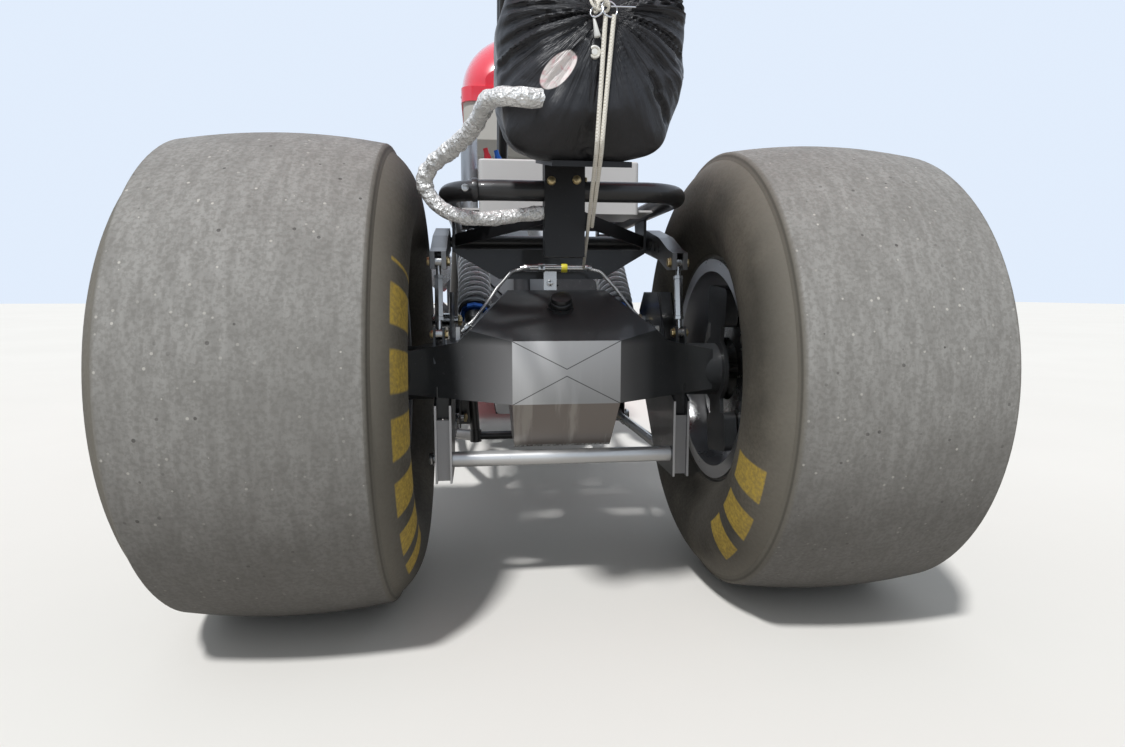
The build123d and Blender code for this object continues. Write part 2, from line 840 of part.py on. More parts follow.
# Parachute pack: a soft bag lying lengthways on its tray, fuller at the top
pack_half_width = 127
pack_height = 245
pack_edge = 34
pack_corner = 40
with BuildPart() as chute_pack:
    pack_ends = []
    for y in (pack_back, pack_back + pack_length):
        with BuildSketch(back_plane(y)) as pack_end:
            with BuildLine():
                Polyline(
                    (-pack_half_width, pack_bottom + pack_height),
                    (-pack_half_width, pack_floor(y) + 50),
                    (-pack_half_width + 10, pack_floor(y)),
                    (pack_half_width - 36, pack_floor(y)),
                    (pack_half_width, pack_floor(y) + 100),
                    (pack_half_width, pack_bottom + pack_height),
                    close=True,
                )
            make_face()
            fillet(pack_end.vertices(), radius=pack_corner)
        pack_ends.append(pack_end.sketch)
    loft(pack_ends, ruled=True)
    for end in (0, -1):
        fillet(chute_pack.faces().sort_by(Axis.Y)[end].edges(), radius=pack_edge)
save(chute_pack, "chute_pack")

# Battery box on its tray between the loop's rails
battery_height = 102
battery_base = loop_height - 19
tray_height = loop_height - 13
with BuildPart() as battery_box:
    with BuildSketch(level_plane(battery_base)):
        with Locations((4, 90)):
            RectangleRounded(314, 150, 8)
    extrude(amount=battery_height)
    fillet(battery_box.edges().group_by(Axis.Z)[-1], radius=4)
    with BuildSketch(level_plane(tray_height)):
        with Locations((0, 90)):
            Rectangle(2 * (loop_x - loop_radius) + 10, 120)
    extrude(amount=4)
    add(frame_rear.part, mode=Mode.SUBTRACT)
save(battery_box, "battery_box")

# Breather can standing on the tray beside the left rail
can_radius = 17
with BuildPart() as breather_can:
    with BuildSketch(level_plane(tray_height + 4)):
        with Locations((loop_radius + can_radius + 2 * seat_gap - loop_x, 130)):
            Circle(can_radius)
    extrude(amount=162)
    fillet(breather_can.edges().group_by(Axis.Z)[-1], radius=5)
save(breather_can, "breather_can")

# Transmission: bell, case, tail and output coupling in one line with the axle's pinion
with BuildPart() as transmission:
    with BuildSketch(forward_plane(0, gearbox_back, crank_height)):
        Circle(52)
    extrude(amount=120)
    with BuildSketch(forward_plane(0, gearbox_back + 100, crank_height - 10)):
        RectangleRounded(190, 200, 50)
    extrude(amount=360)
    with BuildSketch(forward_plane(0, gearbox_back + 170, crank_height - 110)):
        RectangleRounded(220, 70, 12)
    extrude(amount=230)
    with BuildSketch(forward_plane(0, gearbox_back + 440, crank_height)):
        Circle(118)
    with BuildSketch(forward_plane(0, engine_back - 20, crank_height)):
        Circle(195)
    loft()
    with BuildSketch(forward_plane(0, engine_back - 20, crank_height)):
        Circle(205)
    extrude(amount=14)
    straight_tube(at(0, pinion_end + seat_gap, crank_height), at(0, gearbox_back, crank_height), 34)
    for joint_y in (pinion_end + 2, (pinion_end + gearbox_back) / 2 - 30, gearbox_back - 30):
        straight_tube(at(0, joint_y, crank_height), at(0, joint_y + 26, crank_height), 46)
save(transmission, "transmission")

# Engine: crankcase, two banks with heads, sump, motor plates and front drive
with BuildPart() as engine_block:
    with BuildSketch(forward_plane(0, engine_back, crank_height)):
        with BuildLine():
            Polyline(
                (-115, 70),
                (-125, -10),
                (-60, -120),
                (0, -150),
                (60, -120),
                (125, -10),
                (115, 70),
                close=True,
            )
        make_face()
    extrude(amount=engine_length)
    for hand in (1, -1):
        with BuildSketch(bank_plane(hand, engine_back)):
            with Locations((0, deck_distance / 2 + 30)):
                Rectangle(150, deck_distance - 60)
        extrude(amount=-hand * engine_length)
        with BuildSketch(bank_plane(hand, engine_back + 12)):
            with Locations((0, deck_distance + head_height / 2)):
                Rectangle(2 * head_half_width, head_height)
        extrude(amount=-hand * (engine_length - 24))
    with BuildSketch(level_plane(crank_height - 70)):
        with Locations((0, engine_back + engine_length / 2)):
            Rectangle(230, engine_length - 20)
    extrude(amount=-60)
    with BuildSketch(level_plane(crank_height - 130)):
        with Locations((0, engine_back + engine_length / 2 - 60)):
            Rectangle(230, engine_length - 160)
    extrude(amount=-100, taper=8)
    with BuildSketch(forward_plane(0, engine_back + engine_length, crank_height)):
        Circle(85)
    extrude(amount=45)
    with BuildSketch(forward_plane(0, engine_back + engine_length, crank_height)):
        with Locations((0, -150)):
            Circle(62)
    extrude(amount=28)
    for plate_y in (engine_back, engine_back + engine_length - 6):
        with BuildSketch(forward_plane(0, plate_y, crank_height)):
            with Locations((0, -100)):
                Rectangle(540, 70)
        extrude(amount=6)
    for frame in side_frames:
        add(frame.part, mode=Mode.SUBTRACT)
    with BuildSketch(forward_plane(0, engine_back - 1, crank_height)):
        Rectangle(700, 500)
        Rectangle(536, 500, mode=Mode.SUBTRACT)
    extrude(amount=engine_length + 2, mode=Mode.SUBTRACT)
    # Magneto at the back of the valley
    straight_tube(at(0, engine_back + 50, crank_height + 140), at(0, engine_back + 50, crank_height + 330), 30)
    straight_tube(at(0, engine_back + 50, crank_height + 300), at(0, engine_back + 50, crank_height + 400), 52)
save(engine_block, "engine_block")

with BuildPart() as valve_covers:
    for hand in (1, -1):
        with BuildSketch(bank_plane(hand, engine_back + 25)):
            with Locations((0, deck_distance + head_height + cover_height / 2)):
                Rectangle(2 * cover_half_width, cover_height)
        extrude(amount=-hand * (engine_length - 50))
    fillet(valve_covers.edges().filter_by(Axis.Y).group_by(Axis.Z)[-1], radius=18)
save(valve_covers, "valve_covers")

# Intake: base in the valley, eight runners and a plenum
port_start = engine_back + engine_length / 2 - port_pitch * (port_count - 1) / 2
port_rows = [port_start + port_pitch * row for row in range(port_count)]
with BuildPart() as intake_manifold:
    with BuildSketch(forward_plane(0, engine_back + 110, crank_height)):
        with BuildLine():
            Polyline(
                (-100, -235),
                (-40, -178),
                (40, -178),
                (100, -235),
                (152, -287),
                (152, -310),
                (-152, -310),
                (-152, -287),
                close=True,
            )
        make_face()
    extrude(amount=engine_length - 130)
    for hand in (1, -1):
        for row_y in port_rows:
            mid_y = engine_back + engine_length / 2 + (row_y - engine_back - engine_length / 2) * 0.8
            runner_top = at(hand * 62, mid_y, plenum_bottom + 10)
            straight_tube(at(hand * 118, row_y, crank_height + 300), runner_top, 24)
    with BuildSketch(level_plane(plenum_bottom)):
        with Locations((0, engine_back + engine_length / 2)):
            RectangleRounded(210, 400, 20)
    extrude(amount=plenum_top - plenum_bottom)
save(intake_manifold, "intake_manifold")

# Two carburettors and the tray under the scoop
carburettor_rows = (engine_back + engine_length / 2 - 115, engine_back + engine_length / 2 + 115)
with BuildPart() as carburettors:
    for row_y in carburettor_rows:
        with BuildSketch(level_plane(plenum_top)):
            with Locations((0, row_y)):
                RectangleRounded(150, 150, 12)
        extrude(amount=60)
        with BuildSketch(level_plane(plenum_top + 15)):
            with Locations((0, row_y)):
                RectangleRounded(120, 206, 10)
        extrude(amount=38)
        with BuildSketch(level_plane(plenum_top + 60)):
            with Locations((0, row_y)):
                Circle(78)
        extrude(amount=carburettor_top - plenum_top - 60)
save(carburettors, "carburettors")

scoop_mid = scoop_back + scoop_length / 2
with BuildPart() as scoop_tray:
    with BuildSketch(level_plane(carburettor_top)):
        with Locations((0, scoop_mid)):
            RectangleRounded(2 * scoop_half_width - 60, scoop_length - 70, 40)
    with BuildSketch(level_plane(carburettor_top + 50)):
        with Locations((0, scoop_mid)):
            RectangleRounded(2 * scoop_half_width - 14, scoop_length - 14, 40)
    loft()
    with BuildSketch(level_plane(carburettor_top + 50)):
        with Locations((0, scoop_mid)):
            RectangleRounded(2 * scoop_half_width - 14, scoop_length - 14, 40)
    extrude(amount=scoop_base - carburettor_top - 50)
    with BuildSketch(level_plane(carburettor_top + 40)):
        with Locations((0, scoop_mid)):
            RectangleRounded(2 * scoop_half_width - 80, scoop_length - 90, 30)
    extrude(amount=scoop_base - carburettor_top - 40, mode=Mode.SUBTRACT)
save(scoop_tray, "scoop_tray")

# Air scoop: rim band, then a round dome built of arches, hollow and open at the front
# Arches given by distance from the scoop's back, half width and height over the rim
scoop_arches = (
    (6, 0.60, 0.34),
    (60, 0.88, 0.74),
    (150, 0.99, 1.00),
    (300, 0.97, 1.08),
    (450, 0.80, 1.09),
    (550, 0.66, 1.04),
)
arch_side = 25


def arch(y, half_width, foot, top):
    """An upright-sided round arch across the car."""
    with BuildSketch(back_plane(y)) as section:
        with BuildLine():
            Line((-half_width, foot + arch_side), (-half_width, foot))
            Line((-half_width, foot), (half_width, foot))
            Line((half_width, foot), (half_width, foot + arch_side))
            EllipticalCenterArc((0, foot + arch_side), half_width, top - foot - arch_side, arc_size=180)
        make_face()
    return section.sketch


with BuildPart() as air_scoop:
    with BuildSketch(level_plane(scoop_base)):
        with Locations((0, scoop_mid)):
            RectangleRounded(2 * scoop_half_width, scoop_length, 44)
    extrude(amount=scoop_rim_top - scoop_base)
    outer_arches = []
    inner_arches = []
    for offset, width_share, rise_share in scoop_arches:
        half_width = scoop_half_width * width_share
        top = scoop_rim_top + scoop_rise * rise_share
        outer_arches.append(arch(scoop_back + offset, half_width, scoop_rim_top - 4, top))
        inner_y = scoop_back + offset + scoop_wall
        inner_arches.append(arch(inner_y, half_width - scoop_wall, scoop_rim_top, top - scoop_wall))
    loft(outer_arches)
    with BuildSketch(level_plane(scoop_base)) as chamber:
        with Locations((0, scoop_mid)):
            RectangleRounded(2 * scoop_half_width - 80, scoop_length - 90, 30)
    extrude(chamber.sketch, amount=scoop_rim_top - scoop_base, mode=Mode.SUBTRACT)
    loft(inner_arches, mode=Mode.SUBTRACT)
save(air_scoop, "air_scoop")

# Headers: four pipes a side, out from the head and swept down and back
port_out = deck_distance + head_height / 2
for side, hand in wheel_sides:
    slant = sin(radians(bank_angle))
    port_x = hand * slant * (port_out + head_half_width)
    port_z = crank_height + slant * (port_out - head_half_width)
    with BuildPart() as headers:
        for row_y in port_rows:
            pipe = (
                at(port_x, row_y, port_z),
                at(port_x + hand * 62, row_y, port_z - 62),
                at(port_x + hand * 92, row_y - 60, port_z - 185),
                at(port_x + hand * 150, row_y - 170, port_z - 262),
            )
            bent_tube(pipe, header_radius, 58)
            with BuildSketch(Plane(origin=pipe[-1], z_dir=pipe[-2] - pipe[-1])) as outlet:
                Circle(header_radius - header_wall)
            extrude(outlet.sketch, amount=header_open_depth, mode=Mode.SUBTRACT)
        flange_mid = at(port_x, engine_back + engine_length / 2, port_z)
        with BuildSketch(Plane(origin=flange_mid, x_dir=(0, 1, 0), z_dir=(hand, 0, -1))):
            Rectangle(engine_length - 60, 62)
        extrude(amount=8)
    save(headers, f"headers_{side}")

# Firewall behind the driver
with BuildPart() as firewall:
    back_plate(
        tub_back - seat_gap,
        firewall_thickness,
        ((-285, 110), (-285, 640), (-165, 900), (-120, 985), (120, 985), (165, 900), (285, 640), (285, 110)),
    )
save(firewall, "firewall")

# Cockpit tub: closed at the nose end, open to the firewall, with the cockpit opening cut in its top
tub_sections = (
    (tub_back, 300, body_bottom, 640, 58),
    (opening_front + 50, 286, body_bottom, 650, 58),
    (nose_start, 215, body_bottom, 500, 58),
)
inner_sections = (
    (tub_back - 5, *tub_sections[0][1:]),
    tub_sections[1],
    (nose_start - body_wall, *tub_sections[2][1:]),
)
with BuildPart() as body_tub:
    tapered_body(tub_sections, 0, Mode.ADD)
    tapered_body(inner_sections, body_wall, Mode.SUBTRACT)
    with BuildSketch(level_plane(600)):
        with Locations((0, (tub_back + opening_front) / 2 - 5)):
            Rectangle(2 * opening_half_width, opening_front - tub_back + 10)
        with Locations((0, tub_back + 30)):
            Rectangle(2 * hoop_slot_half, 80)
    extrude(amount=100, mode=Mode.SUBTRACT)
save(body_tub, "body_tub")

# Nose: a closed form that narrows and drops to the tip
nose_sections = (
    (nose_start + seat_gap, 215, body_bottom, 500, 58),
    (wheelbase - 1600, 172, body_bottom, 418, 50),
    (wheelbase - 400, 124, body_bottom, 338, 40),
    (wheelbase + 320, 84, body_bottom + 6, 300, 30),
    (nose_tip, 36, body_bottom + 34, 214, 20),
)
with BuildPart() as body_nose:
    tapered_body(nose_sections, 0, Mode.ADD)
    with BuildSketch(side_plane(-kingpin_x)):
        with Locations((wheelbase, front_axle_height)):
            Circle(front_axle_radius + seat_gap)
    extrude(amount=2 * kingpin_x, mode=Mode.SUBTRACT)
    with BuildSketch(side_plane(-kingpin_x)):
        with Locations((wheelbase - steering_arm, tie_rod_height)):
            Circle(tie_rod_radius + 6)
    extrude(amount=2 * kingpin_x, mode=Mode.SUBTRACT)
save(body_nose, "body_nose")

# Roll cage: main hoop, two front bars and two braces to the side frames
cage_y = cockpit_start + 55
floor_top = body_bottom + body_wall + seat_gap
with BuildPart() as roll_cage:
    hoop = [at(250, cage_y, floor_top), at(250, cage_y, 700), at(215, cage_y, 1020), at(110, cage_y, 1130)]
    hoop += [Vector(-p.X, p.Y, p.Z) for p in reversed(hoop)]
    bent_tube(hoop, cage_radius, 70)
    for hand in (1, -1):
        front_bar = (
            at(hand * 118, cage_y + 4, 1122),
            at(hand * 178, cage_y + 335, 1085),
            at(hand * 222, opening_front - 210, 760),
            at(hand * 222, opening_front - 90, floor_top),
        )
        bent_tube(front_bar, cage_radius - 3, 90)
        straight_tube(at(hand * 229, cage_y, 900), at(hand * 282, cockpit_start - 110, 494), rail_radius)
        straight_tube(at(hand * 248, cage_y, 560), at(hand * 226, opening_front - 160, 520), rail_radius - 2)
    straight_tube(at(-248, cage_y, 690), at(248, cage_y, 690), rail_radius)
    for frame in side_frames:
        add(frame.part, mode=Mode.SUBTRACT)
    add(firewall.part, mode=Mode.SUBTRACT)
    add(body_tub.part, mode=Mode.SUBTRACT)
save(roll_cage, "roll_cage")

# Bucket seat
seat_half = 195
with BuildPart() as seat:
    seat_back = cage_y + 21
    side_plate(
        -seat_half,
        2 * seat_half,
        (
            (seat_back, floor_top),
            (seat_back + 534, floor_top),
            (seat_back + 534, 290),
            (seat_back + 244, 330),
            (seat_back + 154, 660),
            (seat_back + 54, 800),
            (seat_back, 800),
        ),
    )
    side_plate(
        -seat_half + 14,
        2 * seat_half - 28,
        ((seat_back + 554, 205), (seat_back + 134, 175), (seat_back + 56, 820), (seat_back + 554, 820)),
        mode=Mode.SUBTRACT,
    )
    add(roll_cage.part, mode=Mode.SUBTRACT)
save(seat, "seat")

# Dash plate and steering column
column_front = at(0, opening_front - 4, 565)
column_back = at(0, opening_front - 275, 625)
column_way = (column_back - column_front).normalized()
with BuildPart() as dash:
    back_plate(opening_front, 5, ((-276, 440), (-276, 600), (-228, 641), (228, 641), (276, 600), (276, 440)))
    add(body_tub.part, mode=Mode.SUBTRACT)
    straight_tube(column_front, column_back, column_radius)
save(dash, "dash_and_column")

# Butterfly steering wheel
grip_bend = 132
wheel_plane = Plane(origin=column_back - column_way * 6, x_dir=(1, 0, 0), z_dir=column_way)
with BuildPart() as steering_wheel:
    for start_angle in (-50, 130):
        arc_tube(wheel_plane, grip_bend, start_angle, 100, 12)
    for rise in (-1, 1):
        low_left = Vector(-grip_bend * cos(radians(50)), rise * grip_bend * sin(radians(50)), 0)
        low_right = Vector(grip_bend * cos(radians(50)), rise * grip_bend * sin(radians(50)), 0)
        bar_start = wheel_plane.from_local_coords(low_left)
        straight_tube(bar_start, wheel_plane.from_local_coords(low_right), 9)
    with BuildSketch(wheel_plane):
        Rectangle(262, 46)
    extrude(amount=5)
    with BuildSketch(wheel_plane.offset(-22)):
        Circle(26)
    extrude(amount=34)
    with BuildSketch(wheel_plane.offset(-23)):
        Circle(column_radius + wheel_hub_play)
    extrude(amount=29.5, mode=Mode.SUBTRACT)
save(steering_wheel, "steering_wheel")

# Windscreen: a low half ring standing on the tub ahead of the opening
with BuildPart() as windscreen:
    with BuildSketch(level_plane(560)):
        with Locations((0, opening_front + 15)):
            Circle(232)
            Circle(228, mode=Mode.SUBTRACT)
        with Locations((0, opening_front + 15 - 150)):
            Rectangle(500, 300, mode=Mode.SUBTRACT)
    extrude(amount=200)
    side_plate(
        -260,
        520,
        ((opening_front - 10, 790), (opening_front - 10, 690), (opening_front + 260, 790)),
        mode=Mode.SUBTRACT,
    )
    tapered_body(tub_sections, 0, Mode.SUBTRACT)
save(windscreen, "windscreen")

# Front axle tube with a bored kingpin boss at each end
with BuildPart() as front_axle:
    straight_tube(
        at(-kingpin_x, wheelbase, front_axle_height),
        at(kingpin_x, wheelbase, front_axle_height),
        front_axle_radius,
    )
    for hand in (1, -1):
        with BuildSketch(Plane(origin=at(hand * kingpin_x, wheelbase, front_axle_height - axle_boss_half))):
            Circle(axle_boss_radius)
        extrude(amount=2 * axle_boss_half)
    with BuildSketch(Plane(origin=at(0, wheelbase, front_axle_height))):
        with Locations((kingpin_x, 0), (-kingpin_x, 0)):
            Circle(kingpin_radius + kingpin_play)
    extrude(amount=axle_boss_half + 10, both=True, mode=Mode.SUBTRACT)
    with BuildSketch(Plane(origin=at(0, wheelbase, front_axle_height))):
        with Locations((kingpin_x + axle_boss_radius + 60, 0), (-kingpin_x - axle_boss_radius - 60, 0)):
            Rectangle(120, 100)
    extrude(amount=60, both=True, mode=Mode.SUBTRACT)
save(front_axle, "front_axle")

# Spindles: a fork round the axle boss, the kingpin, the stub and the steering arm
ear = 12
fork_gap = 0.5
fork_inner = kingpin_x + axle_boss_radius + 4
arm_pin_radius = 8
for side, hand in wheel_sides:
    king = at(hand * kingpin_x, wheelbase, 0)
    with BuildPart() as spindle:
        fork_low = front_axle_height - axle_boss_half - fork_gap - ear
        fork_high = front_axle_height + axle_boss_half + fork_gap
        for low in (fork_low, fork_high):
            with BuildSketch(Plane(origin=king + Vector(0, 0, low))):
                Circle(axle_boss_radius)
                with Locations((hand * (fork_inner - kingpin_x) / 2, 0)):
                    Rectangle(fork_inner - kingpin_x + 2, 2 * axle_boss_radius)
            extrude(amount=ear)
        with BuildSketch(Plane(origin=king + Vector(0, 0, fork_low))):
            with Locations((hand * (fork_inner + 6 - kingpin_x), 0)):
                Rectangle(12, 56)
        extrude(amount=fork_high + ear - fork_low)
        straight_tube(king + Vector(0, 0, fork_low), king + Vector(0, 0, fork_high + ear), kingpin_radius)
        straight_tube(
            at(hand * (fork_inner + 6), wheelbase, front_tyre_radius),
            at(hand * (front_wheel_x + 28), wheelbase, front_tyre_radius),
            stub_radius,
        )
        arm_end = at(hand * kingpin_x, wheelbase - steering_arm, tie_rod_height + 8 + seat_gap)
        arm_start = at(hand * (fork_inner + 4), wheelbase - 22, tie_rod_height + 8 + seat_gap)
        with BuildSketch(Plane(origin=(0, 0, arm_end.Z))):
            with BuildLine():
                Polyline(
                    (arm_start.X + hand * 8, arm_start.Y + 20),
                    (arm_start.X - hand * 3, arm_start.Y + 20),
                    (arm_end.X - hand * 10, arm_end.Y),
                    (arm_end.X + hand * 12, arm_end.Y),
                    close=True,
                )
            make_face()
            with Locations((arm_end.X, arm_end.Y)):
                Circle(14)
        extrude(amount=12)
        straight_tube(arm_end - Vector(0, 0, 22), arm_end + Vector(0, 0, 6), arm_pin_radius)
    save(spindle, f"front_spindle_{side}")

# Tie rod: one bar across the car whose eyes go round the steering arms' pins
with BuildPart() as tie_rod:
    eye_radius = arm_pin_radius + eye_clearance
    straight_tube(
        at(-kingpin_x, wheelbase - steering_arm, tie_rod_height),
        at(kingpin_x, wheelbase - steering_arm, tie_rod_height),
        tie_rod_radius - 2,
    )
    for hand in (1, -1):
        with BuildSketch(Plane(origin=at(hand * kingpin_x, wheelbase - steering_arm, tie_rod_height - 8))):
            Circle(eye_radius + 6)
        extrude(amount=16)
    with BuildSketch(Plane(origin=at(0, wheelbase - steering_arm, tie_rod_height))):
        with Locations((kingpin_x, 0), (-kingpin_x, 0)):
            Circle(eye_radius)
    extrude(amount=20, both=True, mode=Mode.SUBTRACT)
save(tie_rod, "tie_rod")

# Front tyres and rims
front_seat_half = 30
for side, hand in wheel_sides:
    centre = at(hand * front_wheel_x, wheelbase, front_tyre_radius)
    with BuildPart() as front_tyre:
        with BuildSketch(Plane(origin=centre, x_dir=(1, 0, 0), z_dir=(0, -1, 0))):
            with BuildLine():
                for end in (1, -1):
                    TangentArc((end * front_tyre_half, 262), (end * 36, front_tyre_radius - 6), tangent=(0, 1))
                    TangentArc((end * front_tyre_half, 262), (end * front_seat_half, 228), tangent=(0, -1))
                    Line((end * front_seat_half, 228), (end * front_seat_half, front_rim_radius))
                ThreePointArc((36, front_tyre_radius - 6), (0, front_tyre_radius), (-36, front_tyre_radius - 6))
                Line((front_seat_half, front_rim_radius), (-front_seat_half, front_rim_radius))
            make_face()
        revolve(axis=Axis(centre, (1, 0, 0)))
    save(front_tyre, f"front_tyre_{side}")
    with BuildPart() as front_rim:
        with BuildSketch(Plane(origin=centre, x_dir=(hand, 0, 0), z_dir=(0, -hand, 0))):
            with BuildLine():
                Polyline(
                    (-front_seat_half - 5, front_rim_radius - 8),
                    (-front_seat_half - 5, front_rim_radius + 10),
                    (-front_seat_half - seat_gap, front_rim_radius + 10),
                    (-front_seat_half - seat_gap, front_rim_radius - seat_gap),
                    (front_seat_half + seat_gap, front_rim_radius - seat_gap),
                    (front_seat_half + seat_gap, front_rim_radius + 10),
                    (front_seat_half + 5, front_rim_radius + 10),
                    (front_seat_half + 5, front_rim_radius - 8),
                    close=True,
                )
            make_face()
            with BuildLine():
                Polyline(
                    (-46, stub_radius + bearing_play),
                    (-46, 34),
                    (-20, 46),
                    (10, 190),
                    (10, 210),
                    (18, 210),
                    (18, 190),
                    (2, 50),
                    (30, 36),
                    (30, stub_radius + bearing_play),
                    close=True,
                )
            make_face()
        revolve(axis=Axis(centre, (1, 0, 0)))
        with BuildSketch(Plane(origin=centre, x_dir=(0, 1, 0), z_dir=(1, 0, 0))):
            with PolarLocations(138, 8):
                Circle(38)
        extrude(amount=60, both=True, mode=Mode.SUBTRACT)
    save(front_rim, f"front_rim_{side}")

# Rear wing: main blade, flap and end plates
with BuildPart() as wing:
    for chord_front, chord_back, rise in ((130, -230, 26), (-238, -400, 70)):
        base = wing_height if rise < 50 else wing_height + 22
        with BuildSketch(side_plane(-wing_half_span)):
            with BuildLine():
                middle = (chord_front + chord_back) / 2
                ThreePointArc((chord_front, base), (middle, base + rise * 0.5 - 34), (chord_back, base + rise))
                ThreePointArc((chord_back, base + rise), (middle, base + rise * 0.5 + 4), (chord_front, base))
            make_face()
        extrude(amount=2 * wing_half_span)
    for low in (-wing_half_span - end_plate_thickness, wing_half_span):
        end_plate_outline = (
            (150, wing_height - 60),
            (150, wing_height + 60),
            (60, wing_height + 120),
            (-tail_overhang, wing_height + 170),
            (-tail_overhang, wing_height - 100),
            (-100, wing_height - 100),
        )
        side_plate(low, end_plate_thickness, end_plate_outline)
save(wing, "wing")

# Wing struts: a leaning pair on each side of the frame's cross tube
with BuildPart() as wing_struts:
    for hand in (1, -1):
        foot = at(hand * wing_foot_x, wing_foot_y, loop_height)
        straight_tube(foot, at(hand * wing_foot_x, 60, wing_height - 4), 13)
        straight_tube(foot, at(hand * wing_foot_x, -150, wing_height + 8), 11)
        with BuildSketch(Plane(origin=at(hand * wing_foot_x, wing_foot_y, loop_height))):
            Rectangle(36, 44)
        extrude(amount=60)
    add(frame_rear.part, mode=Mode.SUBTRACT)
    add(wing.part, mode=Mode.SUBTRACT)
save(wing_struts, "wing_struts")

# Foil-wrapped tether from the parachute mount round to the back of the pack
tether_radius = 14
tether_points = (
    (-45.3, -160, 725),
    (-85, -163, 720),
    (-141, -180, 710),
    (-190, -196, 712),
    (-227, -200, 733),
    (-244, -196, 769),
    (-225, -212, 795),
    (-194, -250, 807),
    (-164, -306, 823),
    (-147, -368, 835),
    (-141, -443, 835),
    (-108, -478, 828),
    (-77, -463.2, 830),
)


def cord_radii(points):
    """Arc radius at each corner: 0.45 of the shorter run over the tangent of half the turn."""
    radii = []
    for before, corner, after in zip(points, points[1:], points[2:]):
        incoming = corner - before
        outgoing = after - corner
        half_turn = radians(incoming.get_angle(outgoing)) / 2
        radii.append(0.45 * min(incoming.length, outgoing.length) / tan(half_turn))
    return radii


def cord_tube(points, radii, tube_radius, label):
    """A free cord's plain tube: straight runs joined by arcs of the radii given."""
    print(label, "arc radii", [round(radius, 1) for radius in radii])
    with BuildPart() as tube:
        with BuildLine() as route:
            FilletPolyline(*points, radius=radii)
        with BuildSketch(Plane(origin=route.line @ 0, z_dir=route.line % 0)) as section:
            Circle(tube_radius)
        sweep(sections=section.sketch, path=route.wire())
    save(tube, label)
    print(label, "length", round(route.wire().length, 1))


tether_route = [at(*point) for point in tether_points]
cord_tube(tether_route, cord_radii(tether_route), tether_radius, "foil_tether")

# Two release cords: down the back of the pack, round its lower edge, then taut to the brake tee
release_radius = 3
release_gap = 0.8
release_y = pack_back - release_radius - release_gap
edge_y = pack_back + pack_edge
edge_z = pack_floor(edge_y) + pack_edge * (1 + pack_slope**2) ** 0.5
edge_turn = 25
edge_reach = (pack_edge + release_radius + release_gap) / cos(radians(edge_turn / 2))
edge_corners = []
for turned in (0.5, 1.5, 2.5):
    turn_y = edge_y - edge_reach * cos(radians(edge_turn * turned))
    turn_z = edge_z - edge_reach * sin(radians(edge_turn * turned))
    edge_corners.append((turn_y, turn_z))
long_route = [at(7.3, release_y, 936)]
short_route = [at(18, release_y, 936)]
for (turn_y, turn_z), long_x in zip(edge_corners, (-2.0, -1.8, -0.9)):
    long_route.append(at(long_x, turn_y, turn_z))
    short_route.append(at(long_x + 6.5, turn_y, turn_z))
long_route.append(at(55, hat_back + 8.5, tee_height + 1.7))
cord_run = long_route[-1] - long_route[-2]
short_route.append(long_route[-2] + cord_run * 0.52 + Vector(6.5, 0, 0))
cord_tube(long_route, cord_radii(long_route), release_radius, "release_cord_long")
cord_tube(short_route, cord_radii(short_route), release_radius, "release_cord_short")
for point in tether_route + long_route + short_route:
    print("route point", round(point.X, 2), round(point.Y, 2), round(point.Z, 2))
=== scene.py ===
import math

import bpy
from mathutils import Matrix, Vector, noise


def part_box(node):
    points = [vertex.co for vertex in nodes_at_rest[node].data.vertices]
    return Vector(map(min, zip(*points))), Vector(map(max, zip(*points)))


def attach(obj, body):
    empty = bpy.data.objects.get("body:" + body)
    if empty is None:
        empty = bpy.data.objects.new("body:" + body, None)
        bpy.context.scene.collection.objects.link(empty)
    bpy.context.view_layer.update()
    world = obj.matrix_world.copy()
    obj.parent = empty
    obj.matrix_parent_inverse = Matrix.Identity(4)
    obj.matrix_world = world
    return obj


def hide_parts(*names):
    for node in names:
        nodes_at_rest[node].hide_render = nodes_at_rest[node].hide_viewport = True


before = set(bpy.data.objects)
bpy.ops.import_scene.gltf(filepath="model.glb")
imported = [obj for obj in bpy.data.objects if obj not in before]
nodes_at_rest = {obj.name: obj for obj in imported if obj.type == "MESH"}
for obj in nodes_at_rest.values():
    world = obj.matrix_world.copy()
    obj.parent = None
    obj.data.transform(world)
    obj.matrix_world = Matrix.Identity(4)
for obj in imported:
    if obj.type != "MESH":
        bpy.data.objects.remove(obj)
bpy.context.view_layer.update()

# Places shared with the CAD source, in metres
rear_axle_y = -3.07
front_axle_y = 3.03
rear_hub_height = 0.435
front_hub_height = 0.305
rear_wheel_x = 0.479
front_wheel_x = 0.395
tread_edge_half = 0.167
sidewall_radius = 0.322
both_sides = ((1, "right"), (-1, "left"))


def ahead(x, y, z):
    """A point given by its distance ahead of the rear axle."""
    return Vector((x, rear_axle_y + y, z))


def linked(name, data):
    """A new object in the scene."""
    obj = bpy.data.objects.new(name, data)
    bpy.context.scene.collection.objects.link(obj)
    return obj


# Camera at the photograph's place
photo_width_px, focal_px, sensor_mm = 1125, 688.17, 36.0
yaw, pitch = math.radians(6.866), math.radians(6.807)
ahead_way = Vector((math.sin(yaw) * math.cos(pitch), math.cos(yaw) * math.cos(pitch), -math.sin(pitch)))
right_way = Vector((math.cos(yaw), -math.sin(yaw), 0))
up_way = right_way.cross(ahead_way)
camera_data = bpy.data.cameras.new("camera")
camera_data.sensor_width = sensor_mm
camera_data.lens = focal_px / photo_width_px * sensor_mm
camera_data.clip_start = 0.02
camera_data.clip_end = 200
camera = linked("camera", camera_data)
camera.matrix_world = Matrix.Translation(ahead(-0.1553, -1.3509, 0.5916)) @ Matrix(
    (right_way, up_way, -ahead_way)).transposed().to_4x4()
bpy.context.scene.camera = camera


# Material helpers

